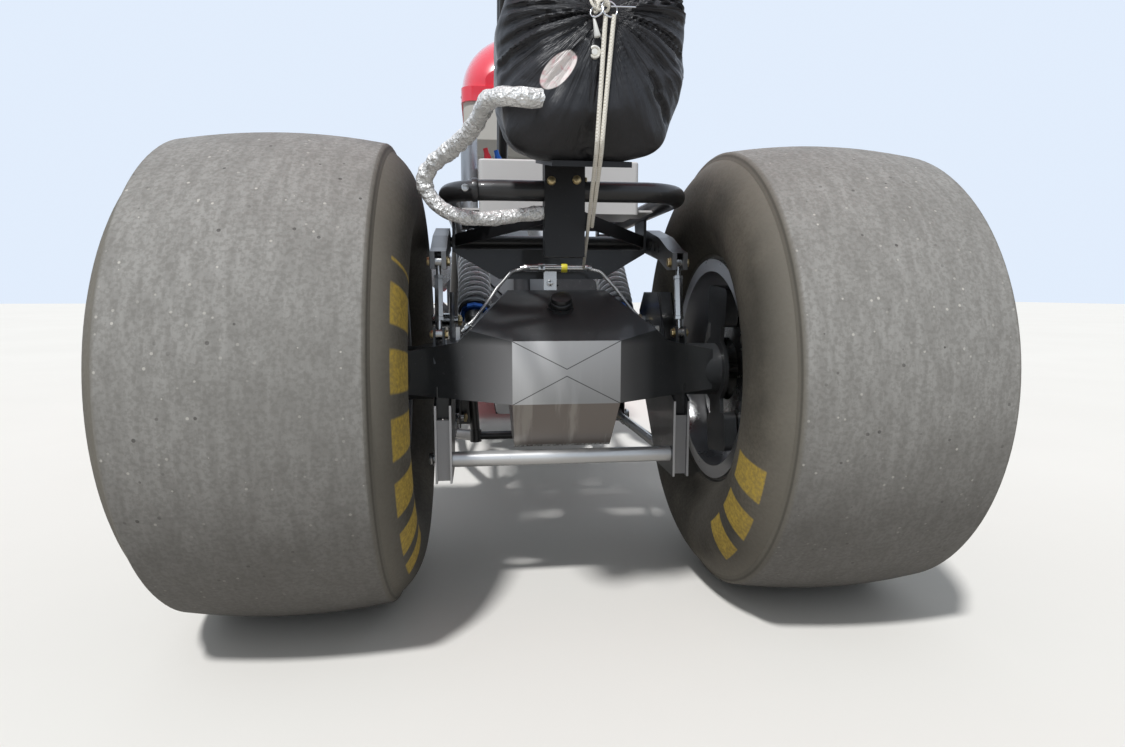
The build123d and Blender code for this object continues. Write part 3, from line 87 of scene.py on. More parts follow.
class Recipe:
    """Nodes and links of one node tree."""

    def __init__(self, tree):
        self.tree = tree

    def feed(self, target, value):
        """Link a socket, or set a value on the target itself."""
        if isinstance(value, bpy.types.NodeSocket):
            self.tree.links.new(value, target)
            return
        if isinstance(value, (tuple, list)) and len(value) == 3 and target.type == "RGBA":
            value = (*value, 1.0)
        target.default_value = value

    def add(self, kind, inputs=None, **settings):
        node = self.tree.nodes.new(kind)
        for key, value in settings.items():
            setattr(node, key, value)
        for key, value in (inputs or {}).items():
            self.feed(node.inputs[key], value)
        return node

    def math(self, operation, first, second=0.0):
        return self.add("ShaderNodeMath", {0: first, 1: second}, operation=operation).outputs[0]

    def plus(self, first, second):
        return self.math("ADD", first, second)

    def minus(self, first, second):
        return self.math("SUBTRACT", first, second)

    def times(self, first, *others):
        for other in others:
            first = self.math("MULTIPLY", first, other)
        return first

    def over(self, first, second):
        return self.math("DIVIDE", first, second)

    def size(self, value):
        return self.math("ABSOLUTE", value)

    def larger(self, first, second):
        return self.math("MAXIMUM", first, second)

    def reach(self, first, second):
        """Distance from nought, from two parts square to each other."""
        return self.math("SQRT", self.plus(self.times(first, first), self.times(second, second)))

    def mix(self, factor, first, second):
        node = self.add("ShaderNodeMix", data_type="RGBA")
        for name, value in (("Factor_Float", factor), ("A_Color", first), ("B_Color", second)):
            self.feed(next(s for s in node.inputs if s.identifier == name), value)
        return next(s for s in node.outputs if s.identifier == "Result_Color")

    def tinted(self, color, mask, strength, other):
        """A colour with another laid over it by part of a mask."""
        return self.mix(self.times(mask, strength), color, other)

    def remap(self, value, low, high, to_low=0.0, to_high=1.0, smooth=False):
        return self.add(
            "ShaderNodeMapRange",
            {"Value": value, "From Min": low, "From Max": high, "To Min": to_low, "To Max": to_high},
            interpolation_type="SMOOTHSTEP" if smooth else "LINEAR",
        ).outputs["Result"]

    def uneven(self, height, low, high):
        """A value that wanders between two others with a group's height."""
        return self.remap(height, 0.3, 0.7, low, high)

    def within(self, value, low, high, edge=0.0005):
        """One between two values, nought outside them."""
        rising = self.remap(value, low - edge, low + edge)
        falling = self.remap(value, high - edge, high + edge, 1.0, 0.0)
        return self.times(rising, falling)

    def place(self):
        return self.add("ShaderNodeTexCoord").outputs["Object"]

    def parts(self, vector):
        return self.add("ShaderNodeSeparateXYZ", {"Vector": vector}).outputs

    def joined(self, x, y, z):
        return self.add("ShaderNodeCombineXYZ", {"X": x, "Y": y, "Z": z}).outputs["Vector"]

    def scaled(self, vector, scale):
        return self.add("ShaderNodeMapping", {"Vector": vector, "Scale": scale}).outputs["Vector"]

    def cloud(self, vector, scale, detail, rough=0.5):
        inputs = {"Vector": vector, "Scale": scale, "Detail": detail, "Roughness": rough}
        return self.add("ShaderNodeTexNoise", inputs).outputs["Fac"]

    def cells(self, vector, scale):
        return self.add("ShaderNodeTexVoronoi", {"Vector": vector, "Scale": scale}, feature="F1").outputs

    def shade(self, color):
        return self.add("ShaderNodeSeparateColor", {"Color": color}).outputs["Red"]

    def bump(self, height, strength, distance):
        inputs = {"Height": height, "Strength": strength, "Distance": distance}
        return self.add("ShaderNodeBump", inputs).outputs["Normal"]

    def group(self, shared, vector, **inputs):
        """The outputs of a shared group at a place, with values of its own."""
        return self.add("ShaderNodeGroup", {"Vector": vector, **inputs}, node_tree=shared).outputs

    def patched(self, vector, scale, low, high):
        return self.group(patches, vector, Scale=scale, Low=low, High=high)

    def scratched(self, vector, scale):
        return self.group(scratches, vector, Scale=scale)


class Finish(Recipe):
    """The recipe of one material, whose shader stays in the material itself."""

    sockets = {"color": "Base Color", "rough": "Roughness", "metal": "Metallic", "normal": "Normal",
               "coat": "Coat Weight", "coat_rough": "Coat Roughness", "sheen": "Sheen Weight",
               "sheen_rough": "Sheen Roughness", "glass": "Transmission Weight", "level": "Specular IOR Level"}

    def __init__(self, name):
        self.material = bpy.data.materials.new(name)
        self.material.use_nodes = True
        super().__init__(self.material.node_tree)
        self.shader = self.tree.nodes["Principled BSDF"]

    def wire(self, **values):
        """Feed the shader's sockets and hand over the material."""
        for key, value in values.items():
            self.feed(self.shader.inputs[self.sockets[key]], value)
        return self.material


def shared_group(name, numbers, results):
    """An empty shared group: a vector and numbers go in, numbers come out."""
    tree = bpy.data.node_groups.new(name, "ShaderNodeTree")
    tree.interface.new_socket(name="Vector", in_out="INPUT", socket_type="NodeSocketVector")
    for label, value in numbers.items():
        made = tree.interface.new_socket(name=label, in_out="INPUT", socket_type="NodeSocketFloat")
        made.default_value = value
    for label in results:
        tree.interface.new_socket(name=label, in_out="OUTPUT", socket_type="NodeSocketFloat")
    source = tree.nodes.new("NodeGroupInput")
    sink = tree.nodes.new("NodeGroupOutput")
    return tree, Recipe(tree), source.outputs, sink.inputs


def patches_group():
    """Soft patches: a mask from noise between two levels."""
    tree, r, given, out = shared_group("patches", {"Scale": 5.0, "Low": 0.4, "High": 0.6}, ("Mask", "Height"))
    height = r.cloud(given["Vector"], given["Scale"], 5.0, 0.6)
    r.feed(out["Mask"], r.remap(height, given["Low"], given["High"], smooth=True))
    r.feed(out["Height"], height)
    return tree


def specks_group():
    """Small scattered specks: a mask from cell distance, thinned by noise."""
    tree, r, given, out = shared_group("specks", {"Scale": 120.0, "Size": 0.12, "Rarity": 0.6}, ("Mask",))
    cells = r.cells(given["Vector"], given["Scale"])
    near = r.math("LESS_THAN", cells["Distance"], given["Size"])
    picked = r.math("GREATER_THAN", r.shade(cells["Color"]), given["Rarity"])
    thick = r.remap(r.cloud(given["Vector"], 23.0, 2.0), 0.35, 0.6)
    r.feed(out["Mask"], r.times(near, picked, thick))
    return tree


def scratches_group():
    """Fine scratches over a grain."""
    tree, r, given, out = shared_group("scratches", {"Scale": 60.0}, ("Mask", "Height"))
    grain = r.cloud(given["Vector"], given["Scale"], 6.0, 0.7)
    r.feed(out["Mask"], r.remap(grain, 0.62, 0.72))
    r.feed(out["Height"], grain)
    return tree


def braid_group():
    """Crossed strands of a braid: two sets of slanting waves, the higher one on top."""
    tree, r, given, out = shared_group("braid", {"Scale": 300.0}, ("Height",))
    x, y, z = r.parts(given["Vector"])
    side = r.plus(x, y)
    first = r.math("SINE", r.times(r.plus(z, side), given["Scale"]))
    second = r.math("SINE", r.times(r.minus(z, side), given["Scale"]))
    r.feed(out["Height"], r.remap(r.larger(first, second), -1.0, 1.0))
    return tree


patches = patches_group()
specks = specks_group()
scratches = scratches_group()
braid = braid_group()


def painted(name, color, rough, worn, metal=0.0, coat=0.0, dust=0.25, grain=0.12, dusty_by=0.16):
    """Paint or plating with dusty patches, fine scratches and a slightly uneven surface."""
    r = Finish(name)
    place = r.place()
    soft = r.patched(place, 4.0, 0.45, 0.75)
    fine = r.scratched(place, 85.0)
    dusty = r.tinted(color, soft["Mask"], dust, tuple(0.6 * c + dusty_by for c in color))
    marked = r.tinted(dusty, fine["Mask"], 0.35, worn)
    if coat:
        r.wire(coat_rough=0.06)
    return r.wire(color=marked, rough=r.uneven(soft["Height"], rough - 0.06, rough + 0.1), metal=metal,
                  coat=coat, normal=r.bump(fine["Height"], grain, 0.0006))


def tyre_material(name, hub, half_tread, dusty_from, dusty_to, inner_side=0.0, arc_low=0.0, arc_high=0.0):
    """Worn slick rubber: streaks round the tread, pale and dark specks, dusty shoulders, a fine mould line, and
    painted shade that darkens the tread toward the bottom.

    A tyre with an inner side also has plain worn yellow blocks there, between two angles."""
    r = Finish(name)
    place = r.place()
    across, along, rise = (r.minus(part, middle) for part, middle in zip(r.parts(place), hub))
    radius = r.reach(along, rise)
    around_y, around_z = r.over(along, radius), r.over(rise, radius)
    half = r.size(across)
    wrap = r.joined(r.times(across, 22.0), r.times(around_y, 2.2), r.times(around_z, 2.2))
    streak = r.patched(wrap, 3.2, 0.35, 0.65)
    blot = r.patched(place, 5.0, 0.4, 0.7)
    grit = r.patched(place, 160.0, 0.42, 0.62)
    pale = r.group(specks, place, Scale=95.0, Size=0.2, Rarity=0.86)["Mask"]
    dark = r.group(specks, place, Scale=62.0, Size=0.17, Rarity=0.86)["Mask"]
    rubber = r.mix(streak["Mask"], (0.265, 0.258, 0.243), (0.335, 0.328, 0.312))
    for mask, strength, tone in ((blot["Mask"], 0.5, (0.215, 0.208, 0.193)),
                                 (grit["Mask"], 0.4, (0.17, 0.164, 0.15)),
                                 (dark, 0.8, (0.07, 0.065, 0.06)), (pale, 0.8, (0.6, 0.58, 0.53))):
        rubber = r.tinted(rubber, mask, strength, tone)
    # Painted shade: the tread darkens toward the bottom of the wheel
    painted_shade_below = r.remap(around_z, -0.85, 0.1, 0.68, 0.0, smooth=True)
    rubber = r.mix(painted_shade_below, rubber, (0.115, 0.108, 0.098))
    side = r.mix(blot["Mask"], (0.07, 0.064, 0.052), (0.14, 0.125, 0.1))
    side = r.tinted(side, grit["Mask"], 0.3, (0.05, 0.045, 0.038))
    side = r.mix(r.remap(radius, dusty_from, dusty_to, 0.0, 0.75), side, (0.2, 0.185, 0.155))
    if inner_side:
        turn = r.math("ARCTAN2", rise, r.times(along, -1.0))
        block = r.within(r.math("FRACT", r.times(turn, 3.82)), 0.14, 0.78, 0.02)
        band = r.within(radius, 0.312, 0.382, 0.001)
        facing = r.math("LESS_THAN", r.times(across, inner_side), 0.0)
        arcs = r.within(turn, arc_low, arc_high, 0.004)
        worn = r.remap(grit["Height"], 0.3, 0.62, 0.95, 0.5)
        mark = r.times(r.times(block, band), r.times(facing, arcs))
        side = r.tinted(side, mark, worn, (0.58, 0.4, 0.06))
    tread = r.remap(half, half_tread - 0.003, half_tread + 0.005, 1.0, 0.0)
    seam = r.within(half, half_tread + 0.0045, half_tread + 0.0065, 0.0006)
    color = r.tinted(r.mix(tread, side, rubber), seam, 0.5, (0.05, 0.047, 0.04))
    height = r.plus(r.times(grit["Height"], 0.5), r.times(streak["Height"], 0.4))
    height = r.plus(height, r.times(pale, 0.6))
    return r.wire(color=color, rough=r.uneven(grit["Height"], 0.62, 0.85),
                  normal=r.bump(height, 0.35, 0.0015), level=0.35)


def housing_material():
    """Satin black plates; the rear face and the belly are lighter metal with painted light and reflection on
    them, the slopes beside the face carry painted highlights, with fine break lines and a weld.
    """
    r = Finish("housing_paint")
    place = r.place()
    x, y, z = r.parts(place)
    half = r.size(x)
    back = r.minus(y, rear_axle_y)
    soft = r.patched(place, 7.0, 0.42, 0.7)
    fine = r.scratched(place, 110.0)
    smear = r.patched(r.scaled(place, (30.0, 1.0, 4.0)), 1.0, 0.48, 0.62)["Mask"]
    color = r.tinted((0.03, 0.032, 0.034), soft["Mask"], 0.3, (0.065, 0.067, 0.069))

    # Soft light on the slopes to the left and right of the rear face
    rear_side = r.times(r.remap(back, -0.075, -0.1), r.remap(z, 0.51, 0.495))
    glow_left = r.times(r.remap(x, -0.21, -0.098), r.remap(x, -0.0975, -0.0965, 1.0, 0.0))
    glow_right = r.times(r.remap(x, 0.17, 0.098), r.remap(x, 0.0965, 0.0975))
    glow = r.times(r.larger(glow_left, r.times(glow_right, 0.7)), rear_side)
    color = r.mix(glow, color, (0.23, 0.23, 0.235))

    # The rear face: lighter metal whose tone is partly a painted reflection, with painted light brighter upward
    # and duller to the right; the belly: a lighter brownish grey that is partly its metal and partly a painted
    # floor reflection
    face_back, belly_top = -0.1292, 0.389
    face = r.times(r.remap(back, face_back + 0.0004, face_back - 0.0004), r.within(half, -0.01, 0.0985))
    face_metal_and_painted_light = r.mix(r.remap(z, 0.395, 0.5), (0.4, 0.4, 0.395), (0.78, 0.78, 0.785))
    face_metal_and_painted_light = r.mix(r.remap(x, -0.05, 0.11, 0.0, 0.45), face_metal_and_painted_light, (0.38, 0.38, 0.385))
    color = r.mix(face, color, r.tinted(face_metal_and_painted_light, smear, 0.25, (0.62, 0.62, 0.62)))
    belly = r.times(r.remap(z, belly_top - 0.0005, belly_top + 0.0005, 1.0, 0.0),
                    r.times(r.within(half, -0.01, 0.0988), r.remap(back, -0.04, -0.055)))
    color = r.mix(belly, color, r.mix(smear, (0.26, 0.23, 0.21), (0.4, 0.37, 0.34)))

    # Weld beads along the lower edge, two slanting break lines and scratches
    weld = r.times(r.remap(z, 0.3015, 0.2995), r.within(half, -0.01, 0.092))
    beads = r.remap(r.cloud(place, 210.0, 1.0), 0.4, 0.55)
    color = r.tinted(color, weld, beads, (0.7, 0.7, 0.68))
    slant = r.times(half, 0.518)
    upper = r.size(r.minus(z, r.plus(slant, 0.4523)))
    lower = r.size(r.minus(z, r.minus(0.4397, slant)))
    line = r.times(r.remap(r.math("MINIMUM", upper, lower), 0.0005, 0.0012, 1.0, 0.0), face)
    color = r.tinted(color, line, 0.9, (0.03, 0.03, 0.032))
    color = r.tinted(color, fine["Mask"], 0.18, (0.3, 0.3, 0.3))
    return r.wire(color=color, metal=r.times(r.larger(face, belly), 0.35),
                  rough=r.uneven(soft["Height"], 0.32, 0.46), coat=0.25, coat_rough=0.08,
                  normal=r.bump(fine["Height"], 0.08, 0.0005))


def bracket_material():
    """Black brackets whose rearward web and edges, and the brace, are lighter satin metal."""
    r = Finish("bracket_paint")
    place = r.place()
    x, y, z = r.parts(place)
    half = r.size(x)
    back = r.minus(y, rear_axle_y)
    soft = r.patched(place, 9.0, 0.42, 0.7)
    fine = r.scratched(place, 110.0)
    web = r.times(r.remap(back, -0.079, -0.082), r.within(half, 0.2132, 0.2358), r.remap(z, 0.36, 0.355))
    rim = r.times(r.remap(back, -0.0946, -0.0949), r.remap(half, 0.2085, 0.209))
    brace = r.times(r.remap(z, 0.293, 0.2945, 1.0, 0.0), r.remap(half, 0.209, 0.2085))
    color = r.tinted((0.02, 0.021, 0.022), soft["Mask"], 0.3, (0.05, 0.05, 0.052))
    for mask, tone in ((web, (0.36, 0.36, 0.37)), (rim, (0.62, 0.62, 0.63)), (brace, (0.68, 0.68, 0.675))):
        color = r.mix(mask, color, tone)
    color = r.tinted(color, fine["Mask"], 0.2, (0.5, 0.5, 0.5))
    return r.wire(color=color, metal=r.times(r.larger(brace, r.larger(web, rim)), 0.5),
                  rough=r.uneven(soft["Height"], 0.26, 0.4), coat=0.2, coat_rough=0.06,
                  normal=r.bump(fine["Height"], 0.08, 0.0005))


def bag_material():
    """Thin black woven nylon with a soft sheen, fine creases and one blank pale patch."""
    r = Finish("bag_nylon")
    place = r.place()
    x, y, z = r.parts(place)
    rear = r.remap(r.minus(y, rear_axle_y), -0.42, -0.43)

    # The patch: a rounded slanting form about its own middle
    across, rise = r.plus(x, 0.0520), r.minus(z, 0.869)
    longways = r.over(r.plus(r.times(across, 0.70), r.times(rise, 0.714)), 0.0300)
    shortways = r.over(r.minus(r.times(rise, 0.70), r.times(across, 0.714)), 0.0145)
    reach = r.plus(r.math("POWER", r.size(longways), 1.9), r.math("POWER", r.size(shortways), 2.2))
    patch = r.times(r.remap(reach, 0.92, 1.04, 1.0, 0.0), rear)
    stained = r.patched(place, 95.0, 0.5, 0.66)["Mask"]
    pale = r.tinted((0.93, 0.87, 0.85), stained, 0.7, (0.85, 0.42, 0.46))

    # Fine gathers that run out from the closing point
    side, up = r.minus(x, 0.009), r.minus(z, 0.946)
    distance = r.reach(side, up)
    around = r.joined(r.times(r.over(side, distance), 9.0), r.times(r.over(up, distance), 9.0),
                      r.times(distance, 9.0))
    fold = r.size(r.minus(r.cloud(around, 1.0, 4.0, 0.62), 0.5))
    radial = r.times(r.times(fold, -9.0), r.times(rear, r.remap(z, 0.83, 0.9, 0.25, 1.0)))

    soft = r.patched(place, 9.0, 0.4, 0.7)
    crease = r.patched(r.scaled(place, (60.0, 60.0, 26.0)), 1.0, 0.4, 0.7)
    weave = r.group(braid, place, Scale=2600.0)
    height = r.plus(r.plus(crease["Height"], r.times(weave["Height"], 0.05)), radial)
    color = r.mix(patch, r.mix(soft["Mask"], (0.009, 0.009, 0.011), (0.021, 0.021, 0.025)), pale)
    return r.wire(color=color, rough=r.uneven(soft["Height"], 0.34, 0.5), sheen=0.1, sheen_rough=0.4,
                  normal=r.bump(height, 0.6, 0.0018), level=0.5)


def foil_material():
    """Crumpled foil: small flat facets that catch the light each their own way."""
    r = Finish("foil")
    place = r.place()
    large, small = r.cells(place, 130.0), r.cells(place, 340.0)
    shade = r.shade(large["Color"])
    height = r.plus(large["Distance"], r.times(small["Distance"], 0.4))
    return r.wire(color=r.mix(shade, (0.97, 0.97, 0.96), (0.84, 0.84, 0.83)), metal=0.25,
                  rough=r.remap(shade, 0.0, 1.0, 0.2, 0.42), normal=r.bump(height, 0.9, 0.004))


def braided_material(name, color, gap, metal=0.0, rough=0.7, depth=0.0006):
    """A braid over a round core, with darker gaps between its strands."""
    r = Finish(name)
    place = r.place()
    strands = r.group(braid, place, Scale=1500.0)["Height"]
    soft = r.patched(place, 40.0, 0.4, 0.7)
    tint = r.tinted(r.mix(r.remap(strands, 0.15, 0.6), gap, color), soft["Mask"], 0.25, gap)
    return r.wire(color=tint, metal=metal, rough=r.uneven(soft["Height"], rough - 0.08, rough + 0.08),
                  normal=r.bump(strands, 0.6, depth))


def red_shell_material():
    """Gloss red shell with faint paler patches."""
    r = Finish("gloss_red_paint")
    place = r.place()
    soft = r.patched(place, 3.0, 0.45, 0.8)
    fine = r.scratched(place, 160.0)
    return r.wire(color=r.tinted((0.86, 0.035, 0.065), soft["Mask"], 0.12, (0.84, 0.1, 0.12)), coat=1.0,
                  rough=r.uneven(soft["Height"], 0.2, 0.34), coat_rough=0.05,
                  normal=r.bump(fine["Height"], 0.02, 0.0004))


def screen_material():
    """Smoked clear plastic."""
    r = Finish("smoked_screen")
    soft = r.patched(r.place(), 6.0, 0.45, 0.8)
    return r.wire(color=(0.3, 0.33, 0.36), rough=r.uneven(soft["Height"], 0.03, 0.12), glass=0.9)


rear_rubber = {
    hand: tyre_material("slick_rubber_" + side, ahead(hand * rear_wheel_x, 0, rear_hub_height), tread_edge_half,
                        0.36, 0.405, hand, arc_low, arc_high)
    for (hand, side), (arc_low, arc_high) in zip(both_sides, ((-1.047, -0.262), (-0.995, 0.576)))}
front_rubber = {
    hand: tyre_material("front_rubber_" + side, Vector((hand * front_wheel_x, front_axle_y, front_hub_height)),
                        0.034, 0.27, 0.295)
    for hand, side in both_sides}
housing_paint = housing_material()
bracket_paint = bracket_material()
bag_nylon = bag_material()
foil = foil_material()
cord_cream = braided_material("cord_braid", (0.93, 0.9, 0.82), (0.72, 0.67, 0.56))
hose_braid = braided_material("hose_braid", (0.55, 0.55, 0.54), (0.12, 0.12, 0.12), 0.8, 0.35, 0.0004)
gloss_red = red_shell_material()
screen_tint = screen_material()
frame_black = painted("frame_black_paint", (0.022, 0.022, 0.023), 0.4, (0.16, 0.16, 0.16), coat=0.3, dust=0.2,
                      dusty_by=0.06)
mount_black = painted("mount_black_paint", (0.008, 0.008, 0.009), 0.5, (0.07, 0.07, 0.07), dust=0.15,
                      dusty_by=0.03)
satin_black = painted("satin_black_paint", (0.02, 0.021, 0.022), 0.38, (0.16, 0.16, 0.16), dusty_by=0.06)
arm_grey = painted("arm_grey_plating", (0.2, 0.203, 0.206), 0.34, (0.5, 0.5, 0.5), metal=0.6, dust=0.2)
bare_steel = painted("bare_steel", (0.5, 0.5, 0.49), 0.26, (0.65, 0.65, 0.65), metal=1.0, dust=0.15)
brass = painted("brass_plating", (0.62, 0.5, 0.28), 0.3, (0.75, 0.68, 0.5), metal=1.0, dust=0.15)
blue_anodised = painted("blue_anodised", (0.02, 0.11, 0.42), 0.3, (0.3, 0.45, 0.7), metal=0.7, dust=0.08)
red_anodised = painted("red_anodised", (0.5, 0.02, 0.03), 0.3, (0.7, 0.3, 0.3), metal=0.6, dust=0.08)
tag_yellow = painted("yellow_sleeve", (0.78, 0.68, 0.05), 0.45, (0.85, 0.8, 0.4), dust=0.1)
spring_silver = painted("spring_paint", (0.9, 0.92, 0.94), 0.28, (0.9, 0.9, 0.9), metal=0.15, dust=0.1)
alloy = painted("cast_alloy", (0.5, 0.5, 0.5), 0.42, (0.65, 0.65, 0.66), metal=1.0, dust=0.2, grain=0.3)
polished = painted("polished_alloy", (0.7, 0.7, 0.71), 0.2, (0.8, 0.8, 0.8), metal=1.0, dust=0.1)
block_black = painted("block_paint", (0.035, 0.035, 0.038), 0.45, (0.2, 0.2, 0.2), grain=0.35)
heat_steel = painted("header_steel", (0.33, 0.29, 0.26), 0.36, (0.5, 0.42, 0.34), metal=1.0, dust=0.35)
tray_tan = painted("tray_composite", (0.55, 0.54, 0.5), 0.6, (0.55, 0.53, 0.5))
box_grey = painted("box_grey_plastic", (0.72, 0.72, 0.715), 0.35, (0.8, 0.8, 0.8), dust=0.15)
can_grey = painted("can_grey_paint", (0.5, 0.52, 0.54), 0.3, (0.6, 0.6, 0.6), metal=0.6)
rim_alloy = painted("rim_alloy_finish", (0.5, 0.5, 0.51), 0.3, (0.7, 0.7, 0.7), metal=1.0, dust=0.3)
grip_black = painted("grip_rubber", (0.03, 0.03, 0.032), 0.7, (0.08, 0.08, 0.08), grain=0.4, dusty_by=0.06)
seat_black = painted("seat_cover", (0.03, 0.03, 0.033), 0.6, (0.09, 0.09, 0.09), grain=0.5, dusty_by=0.06)
sheet_alloy = painted("panel_alloy_sheet", (0.55, 0.56, 0.57), 0.4, (0.7, 0.7, 0.7), metal=1.0, dust=0.2)
pale_metal = painted("pale_metal", (0.86, 0.84, 0.78), 0.3, (0.9, 0.9, 0.88), metal=0.4, dust=0.1)
dial_white = painted("dial_white", (0.75, 0.75, 0.73), 0.4, (0.6, 0.6, 0.6), dust=0.05)

finishes = (
    (rear_rubber[1], "rear_tyre_right"), (rear_rubber[-1], "rear_tyre_left"),
    (front_rubber[1], "front_tyre_right"), (front_rubber[-1], "front_tyre_left"),
    (rim_alloy, "rear_rim_right", "rear_rim_left", "front_rim_right", "front_rim_left"),
    (bare_steel, "rear_axle_shaft", "link_bars", "antiroll_links", "brake_tee", "front_spindle_right",
     "front_spindle_left", "tie_rod"),
    (frame_black, "side_frame_right", "side_frame_left", "frame_rear", "roll_cage", "front_axle",
     "wing_struts"),
    (housing_paint, "axle_housing"), (bracket_paint, "link_brackets"), (arm_grey, "antiroll_bar"),
    (spring_silver, "coilovers"), (satin_black, "brake_calipers"), (hose_braid, "brake_hoses"),
    (mount_black, "chute_mount"), (bag_nylon, "chute_pack"), (foil, "foil_tether"),
    (cord_cream, "release_cord_long", "release_cord_short"), (box_grey, "battery_box"),
    (can_grey, "breather_can"), (alloy, "transmission", "intake_manifold", "carburettors"),
    (block_black, "engine_block"), (polished, "valve_covers"), (tray_tan, "scoop_tray"),
    (heat_steel, "headers_right", "headers_left"), (gloss_red, "air_scoop", "body_tub", "body_nose", "wing"),
    (sheet_alloy, "firewall", "dash_and_column"), (seat_black, "seat"), (grip_black, "steering_wheel"),
    (screen_tint, "windscreen"),
)
for finish, *node_names in finishes:
    for node_name in node_names:
        mesh = nodes_at_rest[node_name].data
        mesh.materials.clear()
        mesh.materials.append(finish)


# Cords first: their routes are the ones in the CAD source

def cord_curve(name, points, radius, finish, resolution=16):
    curve = bpy.data.curves.new(name, "CURVE")
    curve.dimensions = "3D"
    curve.resolution_u = resolution
    curve.bevel_depth = radius
    curve.bevel_resolution = 4
    curve.use_fill_caps = True
    line = curve.splines.new("NURBS")
    line.points.add(len(points) - 1)
    for point, spot in zip(line.points, points):
        point.co = (*spot, 1.0)
    line.order_u = 3
    line.use_endpoint_u = True
    curve.materials.append(finish)
    return linked(name, curve)


def as_mesh(curve_object):
    """The mesh that a curve object gives as it stands."""
    bpy.context.view_layer.update()
    made = curve_object.evaluated_get(bpy.context.evaluated_depsgraph_get())
    return bpy.data.meshes.new_from_object(made)


def noise_at(x, y, z):
    return noise.noise(Vector((x, y, z)))


long_route = [(0.0073, -3.5238, 0.936), (-0.002, -3.5238, 0.7908), (-0.0018, -3.51672, 0.77561),
              (-0.0009, -3.50388, 0.76484), (0.055, -3.0315, 0.6397)]
short_route = [(0.018, -3.5238, 0.936), (0.0045, -3.5238, 0.7908), (0.0047, -3.51672, 0.77561),
               (0.0056, -3.50388, 0.76484), (0.03467, -3.25824, 0.69977)]
tether_route = [(-0.0453, -3.23, 0.725), (-0.085, -3.233, 0.72), (-0.141, -3.25, 0.71), (-0.19, -3.266, 0.712),
                (-0.227, -3.27, 0.733), (-0.244, -3.266, 0.769), (-0.225, -3.282, 0.795),
                (-0.194, -3.32, 0.807), (-0.164, -3.376, 0.823), (-0.147, -3.438, 0.835),
                (-0.141, -3.513, 0.835), (-0.108, -3.548, 0.828), (-0.077, -3.5332, 0.83)]
cord_radius = 0.003

for name, node, route, length in (("release_cord_long_braid", "release_cord_long", long_route, 0.670),
                                  ("release_cord_short_braid", "release_cord_short", short_route, 0.434)):
    cord_object = cord_curve(name, route, cord_radius, cord_cream)
    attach(cord_object, "chassis")
    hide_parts(node)

foil_radius = 0.0122
frayed_from, frayed_to = 0.36, 0.68
ragged_from = 0.97


def cell_ridge(spot):
    """Half on the border between two noise cells, nought well inside one."""
    gaps, _ = noise.voronoi(spot)
    return 0.5 - min(0.5, gaps[1] - gaps[0])


def foil_wrap():
    """The tether's tube of crumpled foil, along the route's own spline."""
    guide = cord_curve("tether_line", tether_route, 0.0, foil, 12)
    path = [v.co.copy() for v in as_mesh(guide).vertices]
    guide.data.bevel_depth = foil_radius
    guide.data.bevel_resolution = 6
    guide.data.resolution_u = 26
    skin = as_mesh(guide)
    skin.name = "tether_foil_wrap"
    obj = linked("tether_foil_wrap", skin)
    bpy.data.objects.remove(guide)
    marks = [0.0]
    for a, b in zip(path, path[1:]):
        marks.append(marks[-1] + (b - a).length)
    total = marks[-1]
    tail = (path[-1] - path[-3]).normalized()
    for vertex in skin.vertices:
        nearest = min(range(len(path)), key=lambda i: (path[i] - vertex.co).length_squared)
        outward = vertex.co - path[nearest]
        if outward.length < 1e-6:
            continue
        share = marks[nearest] / total
        frayed = 1.0 if frayed_from < share < frayed_to else 0.45
        ridges = 0.0052 * cell_ridge(vertex.co * 44.0) + 0.0024 * cell_ridge(vertex.co * 105.0)
        waist = 0.0022 * noise_at(share * 24.0, 0.0, 3.0)
        lift = min(frayed * ridges - 0.0012 + waist, 0.0026 + 0.0008 * frayed)
        ragged = max(0.0, (share - ragged_from) / (1.0 - ragged_from))
        fringe = 0.005 * ragged * noise.noise(vertex.co * 190.0)
        vertex.co += outward.normalized() * lift + tail * fringe
    skin.materials.clear()
    skin.materials.append(foil)
    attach(obj, "chassis")
    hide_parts("foil_tether")


foil_wrap()


# Modelling helpers

weld_reach = 1e-5
masters = []


def nothing_selected():
    if bpy.context.mode != "OBJECT":
        bpy.ops.object.mode_set(mode="OBJECT")
    bpy.ops.object.select_all(action="DESELECT")


def only(obj):
    nothing_selected()
    obj.select_set(True)
    bpy.context.view_layer.objects.active = obj


def edit_all():
    """Edit mode on the active object, with all of it selected."""
    bpy.ops.object.mode_set(mode="EDIT")
    bpy.ops.mesh.select_all(action="SELECT")


def weld_and_leave():
    """Merge what meets, face everything outward and leave edit mode."""
    bpy.ops.mesh.select_all(action="SELECT")
    bpy.ops.mesh.remove_doubles(threshold=weld_reach)
    bpy.ops.mesh.normals_make_consistent(inside=False)
    bpy.ops.object.mode_set(mode="OBJECT")


def settled(obj, name, finish, smooth_below=30, body="chassis"):
    """Name, finish and body for a finished piece, its place put into its mesh."""
    only(obj)
    bpy.ops.object.transform_apply(location=True, rotation=True, scale=True)
    bpy.ops.object.shade_smooth_by_angle(angle=math.radians(smooth_below))
    obj.name = name
    obj.data.name = name
    obj.data.materials.clear()
    obj.data.materials.append(finish)
    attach(obj, body)
    return obj


